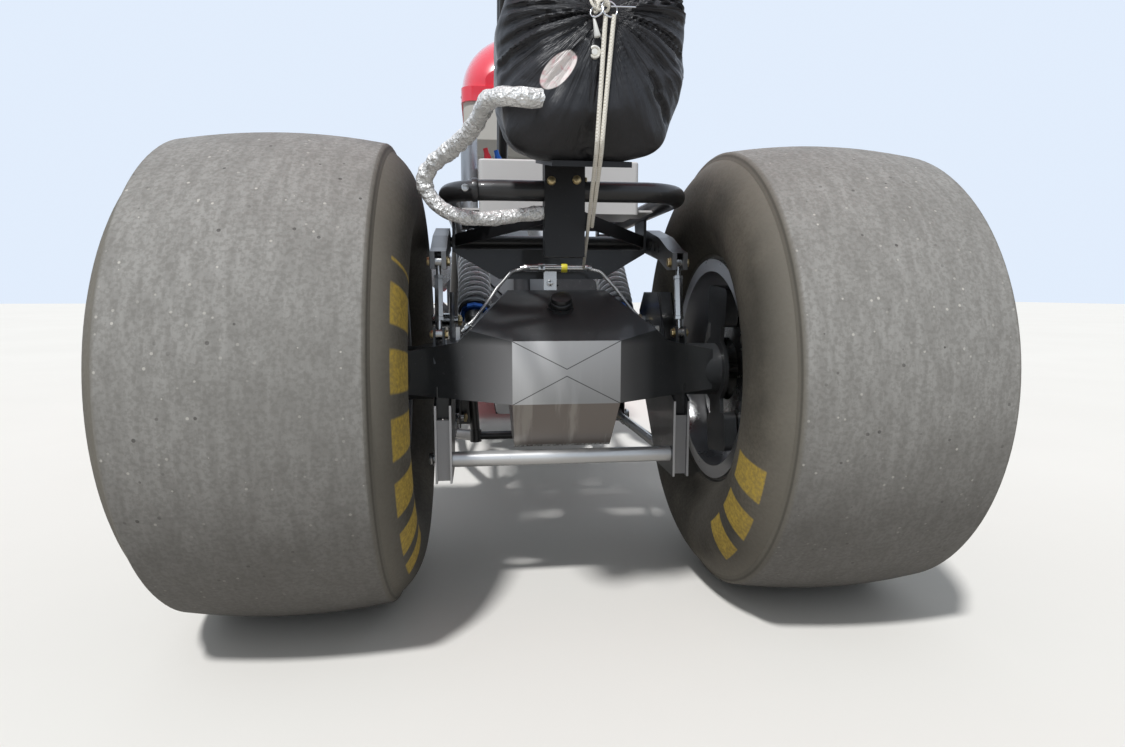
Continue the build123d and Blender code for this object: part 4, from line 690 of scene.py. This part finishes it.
def spun(profile, centre, axis, steps):
    """A turned form: the profile's points joined by extruding, then spun round the axis."""
    nothing_selected()
    bpy.ops.mesh.primitive_plane_add(size=0.01, location=(0, 0, 0))
    edit_all()
    bpy.ops.mesh.merge(type="CENTER")
    bpy.ops.transform.translate(value=profile[0])
    for a, b in zip(profile, profile[1:]):
        bpy.ops.mesh.extrude_region_move(TRANSFORM_OT_translate={"value": b - a})
    bpy.ops.mesh.select_all(action="SELECT")
    bpy.ops.mesh.spin(steps=steps, angle=2 * math.pi, center=centre, axis=axis)
    weld_and_leave()
    return bpy.context.object


def turned(sections, steps):
    """A form turned round the upright axis through the origin, from (radius, height) pairs."""
    return spun([Vector((radius, 0, height)) for radius, height in sections], (0, 0, 0), (0, 0, 1), steps)


def ring_sections(bore, radius, half, cut_in, cut_down):
    """The closed outline of a ring about its own level, its outer corners cut."""
    return [(bore, -half), (radius - cut_in, -half), (radius, cut_down - half), (radius, half - cut_down),
            (radius - cut_in, half), (bore, half), (bore, -half)]


def hexagon(across, low, high, chamfer):
    """A six-sided form on the upright axis with its corners turned off at both ends."""
    nothing_selected()
    bpy.ops.mesh.primitive_cylinder_add(vertices=6, radius=across / math.sqrt(3), depth=high - low,
                                        location=(0, 0, (low + high) / 2))
    bpy.ops.object.transform_apply(location=True, rotation=True, scale=True)
    edit_all()
    bpy.ops.mesh.bevel(offset=chamfer, segments=2, affect="EDGES")
    bpy.ops.object.mode_set(mode="OBJECT")
    return bpy.context.object


def joined(parts):
    only(parts[0])
    for part in parts[1:]:
        part.select_set(True)
    if len(parts) > 1:
        bpy.ops.object.join()
    return bpy.context.view_layer.objects.active


def as_master(obj):
    """Keep a form on the upright axis to copy from; all of them are removed at the end."""
    masters.append(obj)
    return obj


def set_down(obj, spot, way, turn=0.0, size=1.0):
    """Move a form from the upright axis to a spot along a way, in its mesh."""
    facing = Vector((0, 0, 1)).rotation_difference(Vector(way).normalized()).to_matrix().to_4x4()
    turning = Matrix.Rotation(turn, 4, "Z") @ Matrix.Scale(size, 4)
    obj.data.transform(Matrix.Translation(Vector(spot)) @ facing @ turning)
    return obj


def stood(master, spot, way, turn=0.0, size=1.0):
    """A copy of a master, set down at a spot along a way."""
    return set_down(linked(master.name, master.data.copy()), spot, way, turn, size)


def arc(centre_across, reach, start, end, count):
    """Points of a sidewall arc as (half width, radius)."""
    angles = [math.radians(start + (end - start) * i / count) for i in range(count + 1)]
    return [(centre_across + reach * math.cos(a), sidewall_radius + reach * math.sin(a)) for a in angles]


# Rear slick tyres: a section of bead, sidewall arcs, shoulder and crown, mirrored about its middle and spun

crown_radius, crown_centre = 1.003, -0.568


def slick_sections():
    half = [(0.165, 0.2065), (0.1655, 0.2150), (0.1652, 0.2260)]
    half += arc(0.1024, 0.1146, -56.9, 0.0, 12)[1:]
    half += arc(0.1084, 0.1086, 4.0, 51.5, 10)
    half += [(0.1745, 0.4105), (0.1722, 0.4155), (0.1698, 0.4192), (0.1668, 0.4213)]
    half += [(across, crown_centre + math.sqrt(crown_radius ** 2 - across ** 2))
             for across in (0.150, 0.125, 0.100, 0.075, 0.05, 0.025, 0.0)]
    return half + [(-a, r) for a, r in reversed(half[:-1])] + half[:1]


for hand, side in both_sides:
    slick_profile = [ahead(hand * rear_wheel_x + a, 0, rear_hub_height + r) for a, r in slick_sections()]
    slick = spun(slick_profile, ahead(hand * rear_wheel_x, 0, rear_hub_height), (1, 0, 0), 128)
    node = "rear_tyre_" + side
    settled(slick, node + "_slick", rear_rubber[hand], 25, "rear_wheels")
    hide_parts(node)


# Coil-overs: spring, damper, seats, adjuster and eyes on an upright master, then leant into place

lower_pin = ahead(0.166, 0.190, 0.505)
upper_pin = ahead(0.166, 0.440, 0.726)
strut_run = (upper_pin - lower_pin).length
spring_low, spring_high = 0.21 * strut_run, 0.76 * strut_run
spring_radius, spring_wire, spring_turns, steps_in_turn = 0.0385, 0.0046, 10, 28


def spring_coil():
    """A round wire wound up the upright axis, its two ends closed."""
    nothing_selected()
    bpy.ops.mesh.primitive_circle_add(vertices=10, radius=spring_wire,
                                      location=(spring_radius - spring_wire, 0, spring_low + spring_wire),
                                      rotation=(math.pi / 2, 0, 0))
    obj = bpy.context.object
    bpy.ops.object.transform_apply(location=True, rotation=True, scale=True)
    screw = obj.modifiers.new("winding", "SCREW")
    screw.axis = "Z"
    screw.angle = 2 * math.pi
    screw.iterations = spring_turns
    screw.screw_offset = (spring_high - spring_low - 2 * spring_wire) / spring_turns
    screw.steps = screw.render_steps = steps_in_turn
    bpy.ops.object.modifier_apply(modifier=screw.name)
    edit_all()
    bpy.ops.mesh.remove_doubles(threshold=weld_reach)
    bpy.ops.mesh.select_all(action="DESELECT")
    bpy.ops.mesh.select_non_manifold()
    bpy.ops.mesh.fill_holes(sides=12)
    weld_and_leave()
    return obj


def raised(sections, level):
    return [(radius, level + height) for radius, height in sections]


damper_sections = [(0, 0.012), (0.011, 0.012), (0.015, 0.020), (0.0215, 0.026), (0.0225, 0.030),
                   (0.0225, 0.158), (0.0205, 0.162), (0.0085, 0.164), (0.0085, strut_run * 0.80),
                   (0.0125, strut_run * 0.81), (0.0125, strut_run - 0.012), (0, strut_run - 0.012)]
lower_seat = raised([(0.0228, -0.009), (0.034, -0.009), (0.0375, -0.006), (0.0375, -0.001), (0.0228, -0.001),
                     (0.0228, -0.009)], spring_low)
adjuster_ring = raised([(0.0228, -0.024), (0.030, -0.024), (0.0325, -0.0215), (0.0325, -0.0125),
                        (0.030, -0.0098), (0.0228, -0.0098), (0.0228, -0.024)], spring_low)
upper_seat = raised([(0.0125, 0.001), (0.0375, 0.001), (0.0375, 0.006), (0.030, 0.010), (0.0125, 0.010),
                     (0.0125, 0.001)], spring_high)

spring_master = as_master(spring_coil())
damper_masters = [as_master(turned(sections, steps)) for sections, steps in (
    (damper_sections, 28), (upper_seat, 36), (lower_seat, 36))]
adjuster_master = as_master(turned(adjuster_ring, 12))
eye_master = as_master(turned(ring_sections(0.0045, 0.013, 0.012, 0.0015, 0.0015), 28))


def leant(master, hand):
    """A copy of an upright master on the line from the lower pin to the upper one."""
    mirror = Vector((hand, 1, 1))
    return stood(master, lower_pin * mirror, (upper_pin - lower_pin) * mirror)


for hand, side in both_sides:
    spring = settled(leant(spring_master, hand), "coilover_spring_" + side, spring_silver, 60)
    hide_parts("coilovers")
    damper_parts = [leant(master, hand) for master in damper_masters]
    for pin in (lower_pin, upper_pin):
        damper_parts.append(stood(eye_master, (hand * pin.x, pin.y, pin.z), (1, 0, 0)))
    settled(joined(damper_parts), "coilover_damper_" + side, arm_grey)
    settled(leant(adjuster_master, hand), "coilover_adjuster_" + side, blue_anodised, 20)


# Parachute pack: cloth swollen from the CAD form, then gathered into pleats round its closing point

closing_y = rear_axle_y - 0.450
closing = Vector((0.009, closing_y, 0.946))
flap_top = 0.909
flap_outline = [(-0.019, flap_top), (0.009, flap_top), (0.020, 0.880), (0.022, 0.850), (-0.052, 0.846),
                (-0.033, 0.879)]
torn_line = [(0.070, 0.868), (0.080, 0.852), (0.079, 0.846), (0.091, 0.834), (0.096, 0.818)]
cloth_frames = 14
cloth_voxel = 0.005
smaller_at_start = 0.014
swell_cap = 0.008
past_cad = 0.0045


def inside(outline, x, z):
    crossed = False
    for (ax, az), (bx, bz) in zip(outline, outline[1:] + outline[:1]):
        if (az > z) != (bz > z) and x < ax + (z - az) * (bx - ax) / (bz - az):
            crossed = not crossed
    return crossed


def gap_to_line(points, x, z):
    best = 1.0
    for (ax, az), (bx, bz) in zip(points, points[1:]):
        run = (bx - ax) ** 2 + (bz - az) ** 2
        share = max(0.0, min(1.0, ((x - ax) * (bx - ax) + (z - az) * (bz - az)) / run))
        best = min(best, math.hypot(x - ax - share * (bx - ax), z - az - share * (bz - az)))
    return best


def eased(value, low, high):
    """Nought below one value, one above another, smooth between them."""
    share = max(0.0, min(1.0, (value - low) / (high - low)))
    return share * share * (3 - 2 * share)


def pleat_height(x, z):
    """How far the cloth of the rear face stands out at a place, from its gathers."""
    dx, dz = x - closing.x, z - closing.z
    reach = math.hypot(dx, dz)
    if reach < 1e-6:
        return -0.012
    ux, uz = dx / reach, dz / reach
    wander = noise_at(x * 9.0, z * 9.0, 1.7) * 0.35
    coarse = noise_at(ux * 5.2 + wander, uz * 5.2, reach * 3.5)
    sharp = 1.0 - 2.0 * abs(noise_at(ux * 13.0, uz * 13.0 + wander, 4.0 + reach * 5.0))
    below = eased(-uz, 0.25, 0.8)
    above = eased(uz, 0.35, 0.9)
    rise = eased(reach, 0.006, 0.045)
    fade = 1.0 - eased(reach, 0.075 + 0.055 * (1 - below), 0.15 + 0.10 * (1 - below))
    strength = rise * (0.25 + 0.75 * fade) * (1.0 - 0.55 * above)
    height = strength * (0.0085 * coarse + 0.0072 * (sharp - 0.45) * (1.0 - 0.5 * below))
    height -= 0.014 * (1.0 - eased(reach, 0.0, 0.042))
    height += 0.0060 * noise_at(x * 17.0, 8.0, z * 11.0) * below * eased(reach, 0.07, 0.12)
    if inside(flap_outline, x, z):
        height += 0.0042 * (1.0 - eased(flap_top - z, 0.015, 0.060))
    return height - 0.0075 * (1.0 - eased(gap_to_line(torn_line, x, z), 0.0015, 0.0065))


def swollen(obj):
    """Fill the cloth by its own pressure, each point moving no further than the cap."""
    start = [v.co.copy() for v in obj.data.vertices]
    cloth = obj.modifiers.new("filling", "CLOTH")
    for key, value in (("quality", 4), ("mass", 0.25), ("tension_stiffness", 12), ("compression_stiffness", 12),
                       ("bending_stiffness", 0.3), ("use_pressure", True), ("uniform_pressure_force", 3.0)):
        setattr(cloth.settings, key, value)
    cloth.settings.effector_weights.gravity = 0
    cloth.collision_settings.use_collision = False
    for step in range(1, cloth_frames + 1):
        bpy.context.scene.frame_set(step)
    filled = obj.evaluated_get(bpy.context.evaluated_depsgraph_get())
    ends = [v.co.copy() for v in filled.data.vertices]
    obj.modifiers.clear()
    bpy.context.scene.frame_set(1)
    for vertex, was, now in zip(obj.data.vertices, start, ends):
        move = now - was
        vertex.co = was + move * min(1.0, swell_cap / max(move.length, 1e-9))


def pack_cloth():
    obj = linked("chute_pack_cloth", nodes_at_rest["chute_pack"].data.copy())
    obj.data.materials.clear()
    only(obj)
    edit_all()
    weld_and_leave()
    low = Vector(min(v.co[i] for v in obj.data.vertices) for i in range(3))
    high = Vector(max(v.co[i] for v in obj.data.vertices) for i in range(3))
    middle = (low + high) / 2
    span = high - low
    for vertex in obj.data.vertices:
        for i in range(3):
            vertex.co[i] = middle[i] + (vertex.co[i] - middle[i]) * (1.0 - smaller_at_start / span[i])
    remesh = obj.modifiers.new("even_faces", "REMESH")
    remesh.mode = "VOXEL"
    remesh.voxel_size = cloth_voxel
    bpy.ops.object.modifier_apply(modifier=remesh.name)
    swollen(obj)
    finer = obj.modifiers.new("finer", "SUBSURF")
    finer.levels = finer.render_levels = 1
    bpy.ops.object.modifier_apply(modifier=finer.name)
    mesh = obj.data
    normals = [v.normal.copy() for v in mesh.vertices]
    for vertex, normal in zip(mesh.vertices, normals):
        x, y, z = vertex.co
        facing = max(0.0, -normal.y)
        lift = pleat_height(x, z) * eased(facing, 0.15, 0.75)
        flank = (1.0 - eased(facing, 0.2, 0.7)) * eased(z, 0.80, 0.86)
        lift += flank * 0.0030 * noise_at(x * 6.0, (y + 3.4) * 5.0, z * 42.0)
        vertex.co = vertex.co + normal * lift
        fuller = 1.0 + 0.075 * (1.0 - eased(z, 0.765, 0.825))
        vertex.co.x = middle.x + (vertex.co.x - middle.x) * fuller
        near_cords = eased(vertex.co.x, -0.016, -0.008) * (1.0 - eased(vertex.co.x, 0.020, 0.028))
        if near_cords > 0 and vertex.co.y < closing_y:
            vertex.co.y += (closing_y - vertex.co.y) * near_cords
        for i in range(3):
            vertex.co[i] = min(max(vertex.co[i], low[i] - past_cad), high[i] + past_cad)
    settled(obj, "chute_pack_cloth", bag_nylon, 70)
    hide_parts("chute_pack")
    return obj


pack = pack_cloth()


def pack_face_y(x, z):
    """How far back the pack's rear face stands at a place seen from behind."""
    hit, spot, _, _ = pack.ray_cast(Vector((x, rear_axle_y - 0.6, z)), Vector((0, 1, 0)))
    return spot.y if hit else closing_y


# Masters on the upright axis, from which every small part is copied

def bolt_head(across, height):
    head = hexagon(across, 0.0012, height, 0.0007)
    flange = turned([(0, 0), (across * 0.66, 0), (across * 0.70, 0.0005), (across * 0.66, 0.0013), (0, 0.0013)],
                    24)
    return as_master(joined([head, flange]))


def nut(across, height):
    body = hexagon(across, 0.0, height, 0.0008)
    thread = turned([(0, height - 0.001), (across * 0.30, height - 0.001), (across * 0.30, height + 0.0012),
                     (across * 0.25, height + 0.002), (0, height + 0.002)], 20)
    return as_master(joined([body, thread]))


bolt_master = bolt_head(0.013, 0.0055)
large_bolt_master = bolt_head(0.022, 0.0085)
large_nut_master = nut(0.022, 0.0075)
nut_master = nut(0.014, 0.0055)
wheel_nut_master = nut(0.022, 0.018)
fitting_master = as_master(joined([
    hexagon(0.013, -0.006, 0.006, 0.0008),
    turned([(0, -0.011), (0.0048, -0.011), (0.0055, -0.006), (0.0055, 0.006), (0.0044, 0.013), (0, 0.013)],
           20)]))
button_master = as_master(turned([(0, 0.0012), (0.0022, 0.0012), (0.0026, 0.0022), (0.0052, 0.0019),
                                  (0.0078, 0.0008), (0.0082, 0), (0, 0)], 24))
rivet_master = as_master(turned([(0, 0.0014), (0.0014, 0.0013), (0.0025, 0.0007), (0.0028, 0), (0, 0)], 16))
socket_master = as_master(turned([(0, 0.0022), (0.0026, 0.0022), (0.0028, 0.0048), (0.0052, 0.0044),
                                  (0.0062, 0.0022), (0.0062, 0), (0, 0)], 24))
bezel_master = as_master(turned([(0.026, 0), (0.031, 0), (0.0318, 0.003), (0.031, 0.0065), (0.0285, 0.0078),
                                 (0.0272, 0.0062), (0.026, 0.003), (0.026, 0)], 40))
face_master = as_master(turned([(0, 0), (0.0262, 0), (0.0262, 0.0026), (0.010, 0.0029), (0.0035, 0.0030),
                                (0.0028, 0.0048), (0, 0.0048)], 40))

# Fasteners on both sides of the rear axle: place, then faced outward (1) or inward (-1), turn and size
steel_parts, brass_parts = [], []
tee_spot = (0.045, 0.638)
paired_fasteners = []
for y, z in ((-0.010, 0.265), (0.150, 0.530), (0.520, 0.250), (0.520, 0.420)):
    paired_fasteners.append((steel_parts, large_bolt_master, 0.2480, y, z, 1, 0.3, 1.0))
    paired_fasteners.append((brass_parts, large_nut_master, 0.2010, y, z, -1, 0.1, 1.0))
paired_fasteners += [
    (brass_parts, bolt_master, 0.2452, -0.030, 0.647, 1, 0.2, 1.15),
    (brass_parts, bolt_master, 0.2148, -0.030, 0.647, -1, 0.4, 1.15),
    (brass_parts, nut_master, 0.2404, -0.050, 0.512, 1, 0.2, 1.0),
    (brass_parts, bolt_master, 0.2196, -0.050, 0.512, -1, 0.5, 1.1),
    (brass_parts, nut_master, 0.1538, 0.190, 0.505, -1, 0.4, 1.3),
    (brass_parts, nut_master, 0.1538, 0.440, 0.726, -1, 0.4, 1.3),
    (steel_parts, bolt_master, 0.1782, 0.440, 0.726, 1, 0.2, 1.3),
    (steel_parts, fitting_master, 0.0595, *tee_spot, 1, 0.0, 1.0),
]
for hand, _ in both_sides:
    for parts, master, x, y, z, faced, turn, size in paired_fasteners:
        parts.append(stood(master, ahead(hand * x, y, z), (hand * faced, 0, 0), turn, size))
    hose_way = Vector((hand * 0.0202, -0.007, -0.0186)).normalized()
    hose_end = ahead(hand * 0.1902, 0.0, 0.5134)
    steel_parts.append(stood(fitting_master, hose_end - hose_way * 0.014, hose_way, 0.2))

# Brake tee: middle nut, tab bolt and the coloured sleeve
steel_parts.append(stood(bolt_master, ahead(-0.012, 0.0485, 0.608), (0, -1, 0), 0.2, 0.8))
steel_parts.append(stood(fitting_master, ahead(-0.030, *tee_spot), (1, 0, 0), 0.4, 1.15))
tee_sleeve = turned(ring_sections(0.0066, 0.0088, 0.006, 0.0006, 0.002), 24)
settled(set_down(tee_sleeve, ahead(0.016, *tee_spot), (1, 0, 0)), "tee_sleeve_yellow", tag_yellow)

# Filler cap: two rounded discs over the neck's lid
filler = turned([(0.0192, 0.0052), (0.0222, 0.0056), (0.0230, 0.0076), (0.0230, 0.0120), (0.0218, 0.0140),
                 (0.0204, 0.0146), (0.0204, 0.0200), (0.0190, 0.0224), (0.0150, 0.0233), (0.0060, 0.0236),
                 (0, 0.0236), (0, 0.0221), (0.0192, 0.0221), (0.0192, 0.0052)], 40)
set_down(filler, ahead(0, -0.0276, 0.5612), (0, -0.091, 0.160))
settled(filler, "filler_cap_rounded", satin_black, 40)

# Loop collar and socket bolt, pins and screws on the pack's mount
collar = turned(ring_sections(0.0178, 0.0198, 0.005, 0.0006, 0.002), 40)
settled(set_down(collar, ahead(-0.160, -0.150, 0.762), (1, 0, 0)), "loop_collar", frame_black)
steel_parts.append(stood(socket_master, ahead(-0.176, -0.1674, 0.762), (0, -1, 0), 0.0, 1.1))
for x, z in ((0.011, 0.778), (-0.032, 0.776)):
    brass_parts.append(stood(bolt_master, ahead(x, -0.172, z), (0, -1, 0), 0.3, 0.85))
brass_parts.append(stood(bolt_master, ahead(0.025, -0.150, 0.779), (1, 0, 0), 0.3, 1.1))


def landed(node, start, way):
    """Where a straight line from a point meets a CAD piece, and the surface's own direction there."""
    hit, spot, normal, _ = nodes_at_rest[node].ray_cast(Vector(start), Vector(way))
    return (spot, normal) if hit else None


def fasten(master, node, start, way, least=-1.0, turn=0.0, size=1.0):
    """A steel fastener where a straight line meets a CAD piece, if it faces sideways by enough there."""
    found = landed(node, start, way)
    if found and abs(found[1].x) > least:
        steel_parts.append(stood(master, *found, turn, size))


def along_box(low, high, step, count):
    """The middle of one of a number of equal lengths of a box, from its rear end."""
    return low[1] + (high[1] - low[1]) * (step + 0.5) / count


# Engine and body fasteners, each set down on the surface that it holds
cover_low, cover_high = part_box("valve_covers")
wing_low, wing_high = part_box("wing")
for hand, _ in both_sides:
    beside, inward = hand * 1.0, (-hand, 0, 0)
    for step in range(6):
        y = along_box(cover_low, cover_high, step, 6)
        for share in (0.30, 0.75):
            above_cover = (hand * cover_high[0] * share, y, 1.3)
            fasten(bolt_master, "valve_covers", above_cover, (0, 0, -1), turn=0.3, size=0.8)
    for step in range(11):
        node = "body_tub" if step < 5 else "body_nose"
        for z in (0.40, 0.55):
            fasten(button_master, node, (beside, -1.15 + 0.34 * step, z), inward, 0.4)
    for step in range(7):
        fasten(rivet_master, "air_scoop", (beside, -1.93 + 0.08 * step, 1.255), inward, size=1.5)
    for step in range(6):
        for z in (1.60, 1.66):
            start = (beside, along_box(wing_low, wing_high, step, 6), z)
            fasten(rivet_master, "wing", start, inward, 0.9, size=1.5)
settled(joined(steel_parts), "steel_fasteners", bare_steel)
settled(joined(brass_parts), "plated_fasteners", brass)


# Wheel nuts

def nuts_on(node, hand, hub, reach, size):
    """Five nuts round a hub, each set down on its rim."""
    nuts = []
    for step in range(5):
        angle = 2 * math.pi * (step + 0.25) / 5
        start = (hand * 0.9, hub[0] + reach * math.cos(angle), hub[1] + reach * math.sin(angle))
        found = landed(node, start, (-hand, 0, 0))
        if found:
            nuts.append(stood(wheel_nut_master, found[0], (hand, 0, 0), 0.3 * step, size))
    return nuts


rear_nuts = []
for hand, side in both_sides:
    rear_nuts += nuts_on("rear_rim_" + side, hand, (rear_axle_y, rear_hub_height), 0.0605, 1.0)
settled(joined(rear_nuts), "rear_wheel_nuts", bare_steel, body="rear_wheels")
for hand, side in both_sides:
    front_nuts = nuts_on("front_rim_" + side, hand, (front_axle_y, front_hub_height), 0.038, 0.6)
    if front_nuts:
        settled(joined(front_nuts), "front_wheel_nuts_" + side, bare_steel, body="front_wheel_" + side)

# Dash dials
dash_low, dash_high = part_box("dash_and_column")
bezels, faces = [], []
for x in (-0.11, 0.0, 0.11):
    found = landed("dash_and_column", (x, dash_low[1] - 0.3, dash_high[2] - 0.05), (0, 1, 0))
    if found and found[1].y < -0.7:
        bezels.append(stood(bezel_master, *found))
        faces.append(stood(face_master, *found))
if bezels:
    settled(joined(bezels), "dial_bezels", frame_black)
    settled(joined(faces), "dial_faces", dial_white)

# Coloured boots for the battery posts, each narrowing at its top
for name, x, y, finish in (("post_boot_red", -0.130, 0.100, red_anodised),
                           ("post_boot_blue", -0.108, 0.118, blue_anodised)):
    boot = turned([(0, 0.0), (0.0105, 0.0), (0.0105, 0.006), (0.0080, 0.010), (0.0072, 0.020), (0.0052, 0.026),
                   (0.0048, 0.036), (0, 0.036)], 20)
    settled(set_down(boot, ahead(x, y, 0.845), (-0.25, -0.1, 1.0)), name, finish, 40)

# On the pack's face: peg, grommet, closing rings, knot and pin
peg = turned([(0, 0), (0.0040, 0.0004), (0.0043, 0.002), (0.0036, 0.006), (0.0013, 0.0255), (0, 0.0268)], 20)
set_down(peg, (-0.003, pack_face_y(-0.003, 0.910) - 0.0042, 0.9085), (-0.004, 0, 0.020))
settled(peg, "peg_white", dial_white, 40)
grommet = turned([(0, 0.0022), (0.0036, 0.0019), (0.0046, 0.0006), (0.0062, 0.0024), (0.0078, 0.0020),
                  (0.0088, 0.0), (0.0088, -0.0012), (0, -0.0012)], 36)
set_down(grommet, (-0.006, pack_face_y(-0.006, 0.892), 0.892), (0, -1, 0))
settled(grommet, "grommet_ring", pale_metal, 40)


def small_ring(reach, wire_radius, spot, tilt, squeeze):
    nothing_selected()
    bpy.ops.mesh.primitive_torus_add(major_radius=reach, minor_radius=wire_radius, major_segments=28,
                                     minor_segments=8, location=spot, rotation=tilt)
    edit_all()
    bpy.ops.transform.resize(value=squeeze, center_override=spot)
    bpy.ops.object.mode_set(mode="OBJECT")
    return bpy.context.object


knot_spot = (0.001, rear_axle_y - 0.4525, 0.949)
knot = []
for step in range(7):
    tilt = (1.35 + 0.25 * math.sin(step * 2.1), 0.5 * math.sin(step * 1.7), 0.45 * step)
    spot = (knot_spot[0] + 0.007 * math.sin(step * 2.6), knot_spot[1] + 0.002 * math.cos(step * 1.3),
            knot_spot[2] + 0.004 * math.cos(step * 2.2))
    knot.append(small_ring(0.0070 + 0.0012 * (step % 3), 0.0019, spot, tilt, (1.0, 0.62, 0.85)))
settled(joined(knot), "closing_knot", cord_cream, 60)
pin = turned([(0, 0), (0.0011, 0), (0.0011, 0.030), (0.0006, 0.032), (0, 0.032)], 12)
rings = [small_ring(0.0105, 0.0013, (0.012, rear_axle_y - 0.4535, 0.943), (1.3, 0.3, 0.2), (1, 0.8, 1)),
         small_ring(0.0090, 0.0012, (-0.004, rear_axle_y - 0.4545, 0.940), (1.1, -0.5, -0.4), (1, 0.8, 1)),
         set_down(pin, (0.014, rear_axle_y - 0.4540, 0.946), (1, 0, 0.02))]
settled(joined(rings), "closing_rings", polished, 60)

for master in masters:
    bpy.data.objects.remove(master)

# Floor: pale to the camera, darker for the light that it throws back
nothing_selected()
bpy.ops.mesh.primitive_plane_add(size=60, location=(0, 2, 0))
floor = bpy.context.object
floor.name = "floor"
ground = Finish("pale_floor")
ground_soft = ground.patched(ground.place(), 0.6, 0.3, 0.8)
ground_seen = ground.add("ShaderNodeLightPath").outputs["Is Camera Ray"]
ground_pale = ground.mix(ground_soft["Mask"], (0.84, 0.82, 0.78), (0.87, 0.85, 0.81))
ground_color = ground.mix(ground_seen, (0.46, 0.44, 0.41), ground_pale)
floor.data.materials.append(ground.wire(color=ground_color, rough=0.9))

# Sky: bright where it is seen or mirrored, dimmer as a light
world = bpy.data.worlds.new("open_sky")
bpy.context.scene.world = world
world.use_nodes = True
sky = Recipe(world.node_tree)
backdrop = world.node_tree.nodes["Background"].inputs
rays = sky.add("ShaderNodeLightPath").outputs
seen = sky.larger(rays["Is Camera Ray"], sky.larger(rays["Is Glossy Ray"], rays["Is Transmission Ray"]))
sky.feed(backdrop["Color"], sky.mix(seen, (0.9, 0.95, 1.0), (0.76, 0.85, 0.98)))
sky.feed(backdrop["Strength"], sky.remap(seen, 0.0, 1.0, 0.42, 1.0))

# Sun, from where the photograph's shadows put it
sun_data = bpy.data.lights.new("overhead", "SUN")
sun_data.energy = 2.6
sun_data.angle = math.radians(5)
sun = linked("overhead", sun_data)
sun.matrix_world = Vector((-0.27, -0.55, 1.0)).to_track_quat("Z", "Y").to_matrix().to_4x4()

bpy.context.scene.view_settings.view_transform = "Standard"
